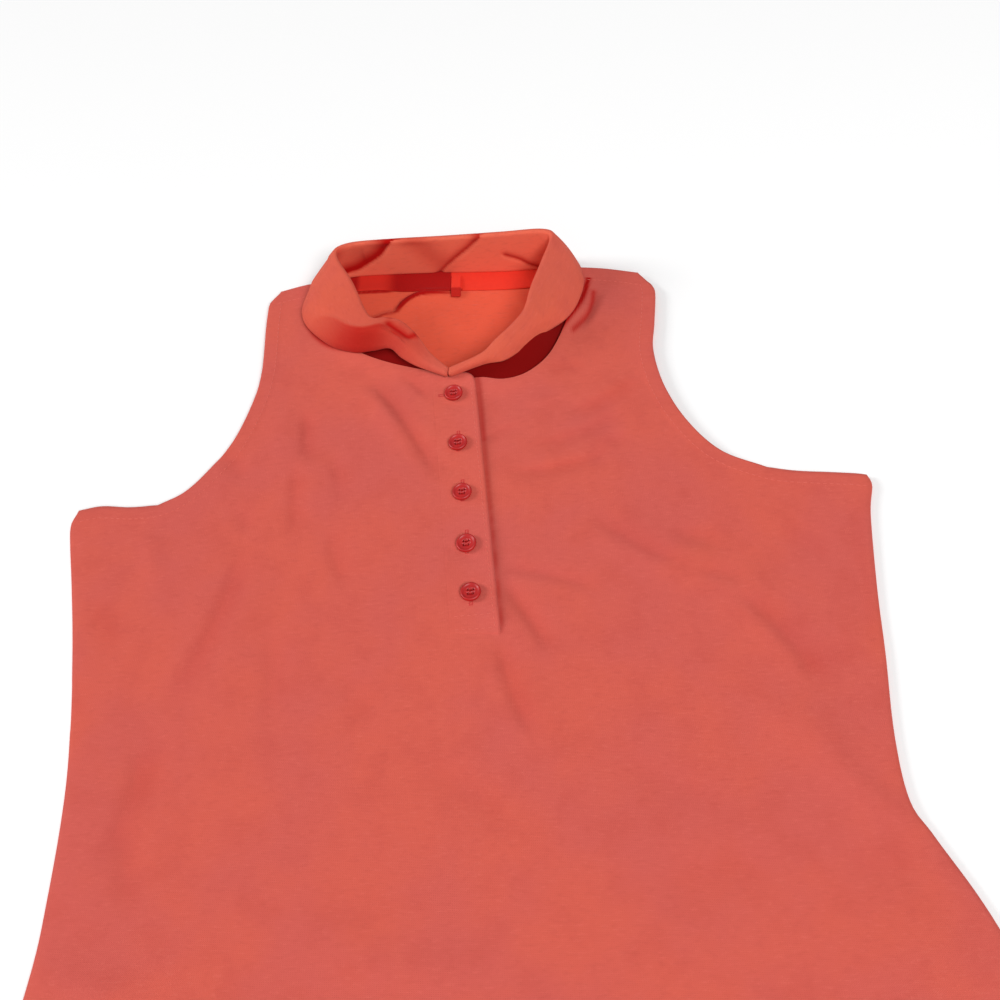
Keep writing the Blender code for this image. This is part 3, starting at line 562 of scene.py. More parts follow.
def cloth(name, points, thickness, material, uv, cells=None, flush=None, deep=0.0, lower_painted_shade=0.0):
    """A grid of points given a wall: a skin half the thickness above it and one below. The
    rim between them is pushed out by the same half, so that it rounds over, except at the
    flush points, where it is square and meets the next piece. The painted shade given for the
    upper skin also goes on the rim, and the lower skin gets at least the painted shade given
    for it."""
    height, width = points.shape[:2]
    cells = np.ones((height - 1, width - 1), bool) if cells is None else cells
    flush = np.zeros((height, width), bool) if flush is None else flush
    normals = grid_normals(points, cells)
    under = height * width
    index = np.arange(under).reshape(height, width)
    top = np.stack([index[:-1, :-1], index[:-1, 1:], index[1:, 1:], index[1:, :-1]], axis=-1)[cells]
    start, end = top.ravel(), np.roll(top, -1, axis=1).ravel()
    rim = ~np.isin(start * under + end, end * under + start)
    start, end = start[rim], end[rim]
    flat_points, flat_normals = points.reshape(-1, 3), normals.reshape(-1, 3)
    out = np.zeros((under, 3))
    sideways = np.cross(flat_points[end] - flat_points[start], flat_normals[start])
    np.add.at(out, start, sideways)
    np.add.at(out, end, sideways)
    out /= np.maximum(np.linalg.norm(out, axis=1, keepdims=True), 1e-9)
    nose = flat_points + out * (thickness / 2) * ~flush.reshape(-1, 1)
    half = flat_normals * thickness / 2
    vertices = np.vstack([flat_points + half, flat_points - half, nose])
    nose_end, nose_start = end + 2 * under, start + 2 * under
    faces = np.vstack([top, top[:, ::-1] + under,
                       np.column_stack([end, start, nose_start, nose_end]),
                       np.column_stack([nose_end, nose_start, start + under, end + under])])
    used = np.unique(faces)
    place = np.zeros(3 * under, int)
    place[used] = np.arange(len(used))
    uv = np.vstack([uv.reshape(-1, 2)] * 3)
    upper = np.broadcast_to(deep, (height, width)).ravel()
    depths = np.concatenate([upper, np.maximum(upper, lower_painted_shade), upper])
    square = np.tile(flush.ravel(), 3)
    return add_mesh(name, vertices[used], place[faces], material,
                    uv[used], depths[used], square[used])


class Wire:
    """One shader socket. Arithmetic on it adds Math nodes."""

    def __init__(self, finish, socket):
        self.finish, self.socket = finish, socket

    def math(self, operation, *values):
        return self.finish.node("ShaderNodeMath", {"operation": operation}, dict(enumerate(values)))

    def __add__(self, other):
        return self.math("ADD", self, other)

    def __sub__(self, other):
        return self.math("SUBTRACT", self, other)

    def __rsub__(self, other):
        return self.math("SUBTRACT", other, self)

    def __mul__(self, other):
        return self.math("MULTIPLY", self, other)

    __radd__, __rmul__ = __add__, __mul__


class Finish:
    """A Principled material whose nodes are added one call at a time."""

    def __init__(self, name, roughness, constants):
        self.material = bpy.data.materials.new(name)
        self.material.use_nodes = True
        self.tree = self.material.node_tree
        self.skin = self.tree.nodes["Principled BSDF"]
        self.skin.inputs["Roughness"].default_value = roughness
        for key, value in constants.items():
            self.skin.inputs[key].default_value = value

    def plug(self, socket, value):
        if isinstance(value, Wire):
            self.tree.links.new(value.socket, socket)
        else:
            socket.default_value = value

    def node(self, kind, settings=(), sockets=(), out=0):
        """A node of a kind, its settings first, then the values or links of its sockets."""
        made = self.tree.nodes.new(kind)
        for key, value in dict(settings).items():
            setattr(made, key, value)
        for key, value in dict(sockets).items():
            self.plug(made.inputs[key], value)
        return Wire(self, made.outputs[out])

    def colour(self, wire):
        self.plug(self.skin.inputs["Base Color"], wire)

    def bump(self, height, distance, strength=1.0):
        """Height from 0 to 1 becomes that many metres of relief in the normal."""
        relief = {"Height": height, "Distance": distance, "Strength": strength}
        self.plug(self.skin.inputs["Normal"], self.node("ShaderNodeBump", sockets=relief))


def mixed(finish, factor, first, second):
    sockets = {0: factor, 6: first, 7: second}
    return finish.node("ShaderNodeMix", {"data_type": "RGBA"}, sockets, out=2)


def in_cloth(finish):
    """A point's place in its piece's cloth, in metres: whole, and its two coordinates."""
    at = finish.node("ShaderNodeUVMap", {"uv_map": "cloth"})
    return at, *in_turn(finish, at)


def in_turn(finish, at):
    """The first two coordinates of a place."""
    parts = finish.node("ShaderNodeSeparateXYZ", sockets={0: at})
    return parts, Wire(finish, parts.socket.node.outputs[1])


def noise(finish, at, scale, detail=2.0, stretch=(1, 1, 1)):
    """Noise from 0 to 1 at so many lumps a metre, drawn out along the axes with a small
    stretch."""
    spread = finish.node("ShaderNodeVectorMath", {"operation": "MULTIPLY"}, {0: at, 1: stretch})
    sockets = {"Vector": spread, "Scale": scale, "Detail": detail}
    return finish.node("ShaderNodeTexNoise", sockets=sockets)


def between(finish, value, low, high):
    """0 at low, 1 at high, and smooth between."""
    return finish.node("ShaderNodeMapRange", {"interpolation_type": "SMOOTHSTEP"},
                       {0: value, 1: low, 2: high})


WARM_CORAL = (0.66, 0.112, 0.078, 1)
PINK_CORAL = (0.62, 0.108, 0.087, 1)
MOTTLED_CORAL = (0.57, 0.088, 0.066, 1)
PALE_FIBRE = (0.76, 0.17, 0.13, 1)
DARK_FIBRE = (0.50, 0.07, 0.055, 1)
PAINTED_SHADE_RED = (0.44, 0.004, 0.003, 1)  # painted shade, where the cloth lies in shade
PAINTED_GAP_SHADE = (0.12, 0.002, 0.002, 1)  # painted dark shade, far inside a gap
WALE, COURSE = 0.00085, 0.00065  # metres across and along one knit stitch
KNIT_RELIEF, KNIT_STRENGTH = 0.0001, 0.8
CHEVRON = 1.4  # how far a stitch's legs lean, in courses a wale
JERSEY_SHINE = {"Sheen Weight": 0.04, "Sheen Roughness": 0.5, "Specular IOR Level": 0.06}
JERSEY_ROUGHNESS = 0.95
# Lumps a metre in the jersey's broad patches, in its mottling, in its streaks and specks of
# pale fibre, and in its dark fibre, and how much of the mottling and the two fibres shows.
PATCH_SCALE, MOTTLE_SCALE = 16.0, 60.0
STREAK_SCALE, SPECK_SCALE, DARK_SCALE = 900.0, 1500.0, 500.0
MOTTLE_SHARE, PALE_SHARE, DARK_SHARE = 0.35, 0.35, 0.2
PALE_DRAWN, DARK_DRAWN = (0.22, 1, 1), (0.4, 1, 1)  # both fibres are drawn out along a course


def front_painted_shade(x, y):
    """How much painted shade the front gets: more for each millimetre that the creases sink,
    and a bell across each of its shaded lines."""
    sunk = np.maximum(-sum(crease(x, y, line) for line in FRONT_CREASES), 0) * CREASE_SHADE
    bells = [shade.deep * np.exp(-(away(x, y, through(shade.line, SHADE_FINE)) / shade.width) ** 2)
             for shade in FRONT_SHADES]
    return np.max([sunk, *bells], axis=0)


def jersey(name, warm=WARM_CORAL, pink=PINK_CORAL, painted_glow=None, painted_glow_mask=None):
    """Coral jersey: broad warm and pink patches, a finer mottling, streaks of paler and darker
    fibre along the courses, and a knit relief of chevrons. A brighter, more saturated coral,
    when given, is painted light bounced inside the shirt and shows where the given mask says.
    The points' painted shade goes from 0 by 1, red, to 2, dark."""
    finish = Finish(name, JERSEY_ROUGHNESS, JERSEY_SHINE)
    at, across, along = in_cloth(finish)
    patches = between(finish, noise(finish, at, PATCH_SCALE, 4.0), 0.35, 0.65)
    colour = mixed(finish, patches, warm, pink)
    mottle = between(finish, noise(finish, at, MOTTLE_SCALE, 5.0), 0.55, 0.3)
    colour = mixed(finish, mottle * MOTTLE_SHARE, colour, MOTTLED_CORAL)
    # painted light: a brighter, more saturated coral for light bounced inside the shirt
    if painted_glow:
        colour = mixed(finish, painted_glow_mask(finish, at), colour, painted_glow)
    streaks = noise(finish, at, STREAK_SCALE, 2.0, PALE_DRAWN)
    specks = noise(finish, at, SPECK_SCALE, 1.0)
    pale = between(finish, streaks * 0.6 + specks * 0.4, 0.5, 0.75)
    colour = mixed(finish, pale * PALE_SHARE, colour, PALE_FIBRE)
    dark = between(finish, noise(finish, at, DARK_SCALE, 3.0, DARK_DRAWN), 0.5, 0.25)
    colour = mixed(finish, dark * DARK_SHARE, colour, DARK_FIBRE)
    # painted shade: each point's painted shade turns the coral to deep red, and past 1 to near
    # black
    deep = finish.node("ShaderNodeAttribute", {"attribute_name": "deep"}, out=2)
    colour = mixed(finish, deep, colour, PAINTED_SHADE_RED)
    finish.colour(mixed(finish, deep - 1, colour, PAINTED_GAP_SHADE))
    wales, courses = across * (1 / WALE), along * (1 / COURSE)
    fraction = wales.math("FRACT", wales)
    leg = fraction.math("ABSOLUTE", fraction - 0.5)
    loops = courses.math("SINE", (courses + leg * CHEVRON) * (2 * np.pi))
    finish.bump(loops * 0.35 + (1 - leg * 1.6) * 0.3 + specks * 0.6, KNIT_RELIEF, KNIT_STRENGTH)
    return finish.material


coral_jersey = jersey("coral_jersey")
counts = FRONT_COUNTS
left_top = chain(spaced(SHOULDER_LEFT, counts.shoulder) + wrap(counts.shoulder, -1),
                 spaced(neck_seam(LEFT_SHOULDER_ROW, LEFT_BAND_ROW), counts.neck))
right_neck = neck_seam(RIGHT_BAND_ROW, RIGHT_SHOULDER_ROW)
lapped = straight((slot_right(right_neck[0, 1]), right_neck[0, 1]), right_neck[0], LAP_POINTS)
right_top = chain(spaced(chain(lapped, right_neck), counts.neck),
                  spaced(SHOULDER_RIGHT, counts.shoulder) + wrap(counts.shoulder, 1))
left_top[-1] = slot_left(left_top[-1, 1]), left_top[-1, 1]
placket_top = straight(left_top[-1], right_top[0], counts.slot)
front_plan, front_cells = panel(counts, left_top, placket_top, right_top)
slot_start = counts.underarm + counts.shoulder + counts.neck
slot_row = counts.skirt + counts.waist
front_cells[slot_row:, slot_start:slot_start + counts.slot] = False
front_flush = np.zeros(front_plan.shape[:2], bool)
front_flush[slot_row:, slot_start] = True
front_flush[slot_row, slot_start:slot_start + counts.slot + 1] = True
front_flush[-1] = True
front = cloth("front", with_height(front_plan, front_height), CLOTH, coral_jersey, front_plan,
              front_cells, front_flush, deep=front_painted_shade(front_plan[..., 0], front_plan[..., 1]))
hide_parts("front_panel")

# ---------------------------------------------------------------------------------------
# Back: one piece of the same jersey, lying on the surface. Its shoulders come forward over
# the fold and are seamed to the front. Inside the neck, where it shows, the cloth is painted
# brighter and more saturated for light bounced there, and a soft fold runs from the tab down
# to the left, with painted shade on its steep side.
BACK_COUNTS = Counts(underarm=16, shoulder=22, neck=64, slot=10,
                     skirt=44, waist=16, placket=16, chest=116)
TURNS, LANDING_CELLS = 8, 4  # cells round the shoulder's fold, and from it to the seam
# Painted light: inside the neck the back is painted a brighter, more saturated coral for bounced
# light.
PAINTED_GLOW_CORAL = (0.80, 0.108, 0.055, 1)
PAINTED_GLOW_REACH = (0.085, 0.06)  # metres from the neck's middle, from no painted glow to full
# The fold inside the neck, from the tab to the left leaf: its line, its height there, and
# half the width and the depth of the painted shade in it. It falls steeply on its left, the
# outer side, and gently towards the middle of the neck.
FoldPoint = namedtuple("FoldPoint", "x y height dark_width deep")
NECK_FOLD = [FoldPoint(*row) for row in (
    (-9, 156, 0.2, 1.0, 0.6),
    (-20, 156.6, 1.2, 2.0, 0.95),
    (-27, 156.5, 2.0, 2.3, 1.0),
    (-33, 154.6, 2.4, 2.3, 1.05),
    (-38.9, 149.8, 2.6, 2.2, 1.05),
    (-42.2, 144.6, 2.4, 1.8, 1.0),
    (-44, 141.2, 2.0, 1.1, 0.8),
    (-50, 140.4, 1.6, 1.0, 0.75),
    (-56.2, 137.7, 1.4, 1.1, 0.8),
    (-62, 135.6, 1.2, 1.2, 0.9),
    (-70, 131, 0.6, 1.2, 0.9),
)]
NECK_FOLD_STEEP, NECK_FOLD_GENTLE = 1.8, 9
FOLD_FINE = 8  # points to each span of the fold's line
# How far the painted shade's middle lies past that line, how much wider it is than the table
# says, and how soft its edge is.
PAINTED_SHADE_SHIFT, PAINTED_SHADE_MARGIN, PAINTED_SHADE_SOFT = 0.5, 0.5, 1.2
BACK_CREASES = [Crease(*row) for row in (
    (24, 154, 36, 126, 3, 0.8, 4, 6),
    (-20, 146, 2, 124, -2, 0.7, 5, 7),
    (60, -60, 120, -120, 5, 0.5, 8, 10),
    (-140, -40, -90, -150, -6, 0.5, 8, 10),
    (-120, -260, 20, -300, 8, 0.5, 9, 12),
    (40, -200, 150, -250, -6, 0.5, 8, 10),
)]
# The painted shadow line under the tape's lower edge, at its left end: where, how wide, and
# over how much of that width it is full.
SHADED_EDGE = ((-74, 160), (-60, 160.4), (-50, 160.4), (-42, 162))
SHADED_EDGE_WIDTH, SHADED_EDGE_FULL = 1.3, 0.5
LAYER_APART, LAYER_PUSH = 4, 10


def beside(points, line, facing):
    """Each point's distance along its surface from a fine line, positive on the left of the
    line's way as seen from the side that facing points to, and the number of the line's
    nearest point. What lies more than LAYER_APART off along facing is another layer, and is
    counted LAYER_PUSH farther for each millimetre more."""
    way = np.gradient(line, axis=0)
    squares = np.stack([((points - spot) ** 2).sum(axis=-1) for spot in line], axis=-1)
    nearest = squares.argmin(axis=-1)
    off = points - line[nearest]
    depth = (off * facing).sum(axis=-1, keepdims=True)
    side = (np.cross(way[nearest], off) * facing).sum(axis=-1)
    beyond = np.maximum(np.abs(depth[..., 0]) - LAYER_APART, 0)
    apart = np.linalg.norm(off - depth * facing, axis=-1) + LAYER_PUSH * beyond
    return np.where(side < 0, -1, 1) * apart, nearest


def beside_fold(x, y):
    """Each point's distance from the neck fold in plan, and the fold's own values there."""
    line = through([(point.x, point.y, 0) for point in NECK_FOLD], FOLD_FINE)
    values = through([(point.height, point.dark_width, point.deep) for point in NECK_FOLD],
                     FOLD_FINE)
    plan = np.stack([x, y, np.zeros_like(x)], axis=-1)
    across, nearest = beside(plan, line, np.array([0, 0, 1.0]))
    return across, *np.moveaxis(values[nearest], -1, 0)


def back_height(x, y):
    """Height of the back's middle surface: flat on the surface, with its own low creases
    and the soft fold inside the neck."""
    x, y = np.broadcast_arrays(np.asarray(x, float), np.asarray(y, float))
    across, height, *_ = beside_fold(x, y)
    width = np.where(across < 0, NECK_FOLD_STEEP, NECK_FOLD_GENTLE)
    folded = height * np.exp(-(across / width) ** 2)
    return BACK_LEVEL + folded + sum(crease(x, y, line) for line in BACK_CREASES)


def back_painted_shade(x, y):
    """How much painted shade the back gets: dark on the fold's steep side, and along the
    tape's lower edge at its left end."""
    across, _, dark_width, deep = beside_fold(x, y)
    fold = deep * ease((dark_width + PAINTED_SHADE_MARGIN - np.abs(across - PAINTED_SHADE_SHIFT)) / PAINTED_SHADE_SOFT)
    off_edge = away(x, y, through(SHADED_EDGE, FOLD_FINE)) / SHADED_EDGE_WIDTH
    edge = ease(1 + SHADED_EDGE_FULL - off_edge)
    return np.maximum(fold, edge)


def inside_neck(finish, at):
    """1 within the neck opening and 0 beyond, by distance from its middle."""
    centre = (NECK_CENTRE[0] * MM, NECK_CENTRE[1] * MM, 0)
    apart = finish.node("ShaderNodeVectorMath", {"operation": "DISTANCE"}, {0: at, 1: centre},
                        out=1)
    return between(finish, apart, *PAINTED_GLOW_REACH)


counts = BACK_COUNTS
back_seam = neck_seam(BACK_FIRST_ROW, BACK_LAST_ROW)[::-1]
back_neck = spaced([SHOULDER_LEFT[-1], *back_seam, SHOULDER_RIGHT[0]],
                   2 * counts.neck + counts.slot)
left_top = chain(spaced(SHOULDER_LEFT, counts.shoulder), back_neck[:counts.neck + 1])
right_top = chain(back_neck[-counts.neck - 1:], spaced(SHOULDER_RIGHT, counts.shoulder))
middle_top = back_neck[counts.neck:counts.neck + counts.slot + 1]
back_plan, back_cells = panel(counts, left_top, middle_top, right_top)
laid = with_height(back_plan, back_height)
columns, first = laid.shape[1], counts.underarm
last = columns - first - counts.shoulder - 1
seam = np.zeros((columns, 2))
seam[first:first + counts.shoulder + 1] = wrap(counts.shoulder, -1)
seam[last:last + counts.shoulder + 1] = wrap(counts.shoulder, 1)
strap = seam[:, 1] < 0
x, y = laid[-1, :, 0], laid[-1, :, 1].copy()
top_level = front_height(x, y)
radius = np.where(strap, (top_level - BACK_LEVEL) / 2, 0)
laid[-1, :, 1] -= radius
arcs = [np.column_stack([x, y + radius * (np.cos(turn) - 1),
                         BACK_LEVEL + radius * (1 + np.sin(turn))])
        for turn in np.linspace(-np.pi / 2, np.pi / 2, TURNS + 1)[1:]]
landings = []
for share in np.linspace(0, 1, LANDING_CELLS + 1)[1:]:
    at_x, at_y = x + seam[:, 0] * share, y - radius + (seam[:, 1] + radius) * share
    landings.append(np.column_stack([at_x, at_y, front_height(at_x, at_y)]))
back_points = np.stack([*laid, *arcs, *landings])
wrapped = np.tile(strap[:-1] & strap[1:], (len(arcs) + len(landings), 1))
back_flush = np.zeros(back_points.shape[:2], bool)
back_flush[-1] = True
painted_shade_map = back_painted_shade(back_points[..., 0], back_points[..., 1])
# The back's jersey, with painted bounced light inside the neck.
inner_jersey = jersey("coral_jersey_inner", painted_glow=PAINTED_GLOW_CORAL, painted_glow_mask=inside_neck)
back = cloth("back", back_points, CLOTH, inner_jersey, back_points[..., :2],
             np.vstack([back_cells, wrapped]), back_flush, deep=painted_shade_map)
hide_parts("back_panel")

# ---------------------------------------------------------------------------------------
# Collar: a self-fabric turn-down collar, two layers turned through and pressed: a stand that
# rises from the neck seam, a roll, and a fall outside it. It stands open, and its left leaf
# is twisted over along a soft ridge.
DOUBLE_CLOTH = 1.6
# The collar's coral is more orange than the body's and is also painted lighter overall for light on
# its right leaf. Its stand's inner side is painted brighter still, for bounced light.
WARM_COLLAR_WITH_PAINTED_LIGHT = (0.70, 0.12, 0.068, 1)
PINK_COLLAR_WITH_PAINTED_LIGHT = (0.66, 0.112, 0.072, 1)
PAINTED_GLOW_COLLAR = (0.83, 0.155, 0.09, 1)
STAND_DROP = (150, 168)  # Y between which the stand's foot comes down from the front to the back
STAND_FOOT = 2.5  # height of the stand's foot where it sits on the neck tape
STAND_SHOWS = (0.0005, -0.001)  # metres past the roll's top, from the fall's colour to the stand's painted brighter one
SEAM_INSET = 1.1  # how far inside the seam line the stand's middle surface starts
ROLL_RADIUS, FALL_BELLY = 1.0, 1.5
ROLL_CALM = 5  # creases fade out this near to the roll's top
ROLL_SHADE_END = 1.8  # how far past it, on the back, the shade inside them runs on
COLLAR_CELLS, STAND_CELLS, ROLL_CELLS, FALL_CELLS = 380, 22, 8, 26
# How closely the fall keeps to its corner, and how much more for each millimetre of lift.
FALL_WEIGHT, RIDGE_WEIGHT = 1.6, 0.6
CAVITY_PAINTED_SHADE = 1.7  # painted shade on the side that faces into the collar
# The left leaf's ridge: by row of the collar's table, where it crosses the fall, as a share
# from roll to free edge, and how much painted shade the fall gets below it and above it.
RIDGE = ((12.8, 0.95, 0, 0), (14.2, 0.9, 0.2, 0.12), (14.8, 0.5, 0.5, 0.15),
         (15.3, 0.36, 0.72, 0.15), (16, 0.22, 0.85, 0.15), (17, 0.09, 0.8, 0.22),
         (17.8, 0.04, 0.6, 0.25), (18.6, 0, 0.5, 0.25), (19.6, 0, 0.3, 0.1), (20.6, 0, 0, 0))
RIDGE_SHARP = 0.09  # over what share of the fall the one painted shade turns into the other
# The pressed line along it: how high, and how wide as a share of the fall.
RIDGE_CREST, RIDGE_CREST_WIDTH = 0.5, 0.05
# The stand's inner side gets painted shade at the left, again by row.
STAND_SHADE = ((11.7, 0), (12.6, 0.5), (13.4, 0.7), (16, 0.55), (17, 0.2), (18, 0))
# Creases in the collar, each along a few points in space: how wide it is on the left and the
# right of its way, how far the cloth moves along its own facing, and how much painted shade it
# gets.
Tuck = namedtuple("Tuck", "left right depth deep line")
TUCK_FINE = 12  # points to each span of their lines
WEDGE = ((-78, 173.5, 5), (-68, 173.5, 6.5), (-61, 173.5, 10.5), (-52, 173.5, 17), (-45, 174, 27))
COLLAR_TUCKS = [Tuck(*row) for row in (
    (7.5, 0.8, -1.5, 1.12, WEDGE),
    (14, 0.8, 0, 0.45, WEDGE),
    (3, 0.9, -1.4, 0.9, ((-18, 173.5, 2), (-7.7, 173.5, 12.6), (1.4, 173.5, 20.8), (7, 174, 27))),
    (8, 8, -0.9, 0.36, ((-32, 174, 25), (-17, 173.5, 8))),
    (2.4, 0.8, -1.2, 0.9, ((22, 173.5, 13), (30, 173.5, 9.5), (36, 173.5, 5.3), (45, 173.5, 2))),
    (2.6, 3, -1.8, 1.0, ((-44, 112.4, 20.5), (-38, 107.7, 19), (-33.5, 104.6, 18),
                         (-29, 105.6, 17.5))),
    (6, 6, 0.7, 0, ((54, 143, 17), (47, 120, 16))),
    (5, 5, 0.6, 0, ((40, 116, 16), (24, 98, 16))),
    (6, 4, 0.9, 0, ((-91, 156, 14), (-84, 134, 16))),
    (7, 7, 0.8, 0, ((20, 180, 14), (-30, 182, 12))),
    (6, 6, -0.8, 0, ((-60, 182, 15), (-84, 168, 16))),
)]

numbered = np.column_stack([np.array(COLLAR, float), np.arange(len(COLLAR))])
rows = spaced(numbered, COLLAR_CELLS)
row_number = rows[:, -1:]
column = dict(zip(Section._fields, rows.T))
seam = np.column_stack([column["seam_x"], column["seam_y"]])
tangent = np.gradient(seam, axis=0)
tangent /= np.linalg.norm(tangent, axis=1, keepdims=True)
inward = np.column_stack([-tangent[:, 1], tangent[:, 0], np.zeros(len(rows))])
seam = seam + inward[:, :2] * SEAM_INSET
on_back = ease((seam[:, 1] - STAND_DROP[0]) / (STAND_DROP[1] - STAND_DROP[0]))
on_front = plain_front_height(seam[:, 0], seam[:, 1])
start = np.column_stack([seam, on_front + (STAND_FOOT - on_front) * on_back])
roll, edge = rows[:, 2:5], rows[:, 5:8]
rise = np.array([0, 0, 1.0])
centre = roll - rise * ROLL_RADIUS
belly = (start + centre + inward * ROLL_RADIUS) / 2 + inward * column["belly"][:, None]
lift = column["lift"][:, None]
hang = (centre - inward * ROLL_RADIUS + edge) / 2 - inward * FALL_BELLY + rise * (FALL_BELLY + lift)


def round_the_roll(turn):
    """The roll's points at a turn from its inner side, by way of its top at a quarter turn."""
    return centre + (inward * np.cos(turn)[:, None] + rise * np.sin(turn)[:, None]) * ROLL_RADIUS


def heading(way):
    """The turn round the roll at which a path across it heads the given way."""
    return np.arctan2(-(way * inward).sum(axis=1), way[:, 2])


arrive, leave = heading(centre - belly), heading(hang - centre)
inner, outer = round_the_roll(arrive), round_the_roll(leave)
weight = FALL_WEIGHT + RIDGE_WEIGHT * lift
section = []
for t in np.linspace(0, 1, STAND_CELLS + 1):
    section.append((1 - t) ** 2 * start + 2 * t * (1 - t) * belly + t * t * inner)
for t in np.linspace(0, 1, ROLL_CELLS + 1)[1:-1]:
    section.append(round_the_roll(arrive + (leave - arrive) * t))
for t in np.linspace(0, 1, FALL_CELLS + 1):
    leaving, pull = (1 - t) ** 2, 2 * t * (1 - t) * weight
    section.append((leaving * outer + pull * hang + t * t * edge) / (leaving + pull + t * t))
collar_points = np.stack(section, axis=1)
facing = grid_normals(collar_points, np.ones((len(rows) - 1, len(section) - 1), bool))
ridge_row, *ridge_values = np.array(RIDGE).T
crest, below, above = (np.interp(row_number, ridge_row, value) for value in ridge_values)
share = (np.arange(len(section)) - STAND_CELLS - ROLL_CELLS)[None, :] / FALL_CELLS
stand_row, stand_painted_shade = np.array(STAND_SHADE).T
painted_shade_map = np.where(share < -ROLL_CELLS / FALL_CELLS / 2,
                   np.interp(row_number, stand_row, stand_painted_shade),
                   above + (below - above) * ease((share - crest) / RIDGE_SHARP + 0.5))
around = np.concatenate([[0], np.cumsum(np.linalg.norm(np.diff(roll, axis=0), axis=1))])
steps = np.diff(collar_points, axis=1, prepend=collar_points[:, :1])
up = np.cumsum(np.linalg.norm(steps, axis=2), axis=1)
up = up - up[:, STAND_CELLS + ROLL_CELLS // 2:][:, :1]
moved = np.zeros(painted_shade_map.shape)
seen_inside = 1 - on_back[:, None] * ease(up / ROLL_SHADE_END)
for tuck in COLLAR_TUCKS:
    across, _ = beside(collar_points, through(tuck.line, TUCK_FINE), facing)
    bell = np.exp(-(across / np.where(across < 0, tuck.right, tuck.left)) ** 2)
    if tuck.deep:
        bell = bell * seen_inside
    moved = moved + bell * tuck.depth
    painted_shade_map = np.maximum(painted_shade_map, bell * tuck.deep)
on_ridge = np.where(share > 0, np.exp(-((share - crest) / RIDGE_CREST_WIDTH) ** 2), 0)
moved = (moved + RIDGE_CREST * (on_ridge * ease(2 * below))) * ease(np.abs(up) / ROLL_CALM)
collar_points = collar_points + facing * moved[..., None]
collar_uv = np.dstack([np.broadcast_to(around[:, None], up.shape), up])


def inside_stand(finish, at):
    """1 on the stand and 0 on the fall: their cloth coordinates run either way from the roll."""
    return between(finish, in_turn(finish, at)[1], *STAND_SHOWS)


# The collar's jersey, with painted shade in its creases, below its left leaf's ridge and on its
# hidden side.
collar = cloth("turned_collar", collar_points, DOUBLE_CLOTH,
               jersey("collar_jersey", WARM_COLLAR_WITH_PAINTED_LIGHT, PINK_COLLAR_WITH_PAINTED_LIGHT, PAINTED_GLOW_COLLAR, inside_stand),
               collar_uv, deep=painted_shade_map, lower_painted_shade=CAVITY_PAINTED_SHADE)
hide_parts("collar")

# ---------------------------------------------------------------------------------------
# Placket: two bands of the same jersey down the front's slit. The buttonhole band, folded
# double, comes flush out of the left front and laps over the right; the button band lies
# under it. Both are stitched across at the foot.
BAND_CELLS_ACROSS, BAND_CELLS_UP = 40, 130
BAND_CORNER = 5  # radius of the free edge's top corner
# How far the free edge rises, and the power by which that grows across the band. The share
# FOOT_RISE of it is there at the foot, and the rest comes in over FOOT_FADE above it.
BAND_RISE, BAND_CURVE = 1.9, 1.6
FOOT_RISE, FOOT_FADE = 0.35, 8
TUCK_IN, TUCK_DROP = 1.2, 0.9  # how far the band's seamed sides run on, and down under the front
# The button band: how much lower its left side lies than its right, and how far all of it
# lies below the front.
UNDER_BAND_WIDTH, UNDER_BAND_CELLS = 20, 11
UNDER_BAND_DROP, UNDER_BAND_SINK = 1.5, 0.2
# How much more the band's free edge lifts at a few places up its length.
EDGE_WAVES = ((-70, 0), (-58, 0.5), (-46, 0.2), (-20, 0.6), (8, 0.1), (24, 0.6), (40, 0.2),
              (56, 0.7), (72, 0.3), (86, 0.5))
WAVE_CURVE = 3
CREASES_FROM = 1 / 8  # the share of its width over which the band's creases fade in at its seam
BAND_CREASES = [Crease(*row) for row in (
    (-18, 68, 0, 63, 1, -0.6, 4, 2.6),
    (-18, 30, -4, 23, -1, -0.4, 4, 3),
    (-14, -22, 6, -34, 1, -0.6, 4, 3),
    (-8, -44, 12, -50, 1, -0.4, 4, 3),
)]


def band_top(x):
    """Y of the neck seam across the placket: the collar's two ends and the span between."""
    left, right = COLLAR[LEFT_BAND_ROW], COLLAR[RIGHT_BAND_ROW]
    return np.interp(x, (left.seam_x, COLLAR[-1].seam_x, COLLAR[0].seam_x, right.seam_x),
                     (left.seam_y, COLLAR[-1].seam_y, COLLAR[0].seam_y, right.seam_y))


def band_height(x, y):
    """Height of the buttonhole band's middle surface: flush with the front at its left
    seam and its foot, rising to lie over the right front at its free edge."""
    share = np.clip(1 - (band_edge(y) - x) / BAND_WIDTH, 0, 1)
    lifted = FOOT_RISE + (1 - FOOT_RISE) * ease((y - BAND_FOOT[1]) / FOOT_FADE)
    waves = np.array(EDGE_WAVES)
    wave = np.interp(y, waves[:, 0], waves[:, 1]) * share ** WAVE_CURVE
    fade = np.minimum(1, share / CREASES_FROM)
    creased = sum(crease(x, y, line) for line in BAND_CREASES) * fade
    rise = BAND_RISE * lifted * share ** BAND_CURVE
    return front_height(x, y) + (CLOTH - DOUBLE_CLOTH) / 2 + rise + wave + creased


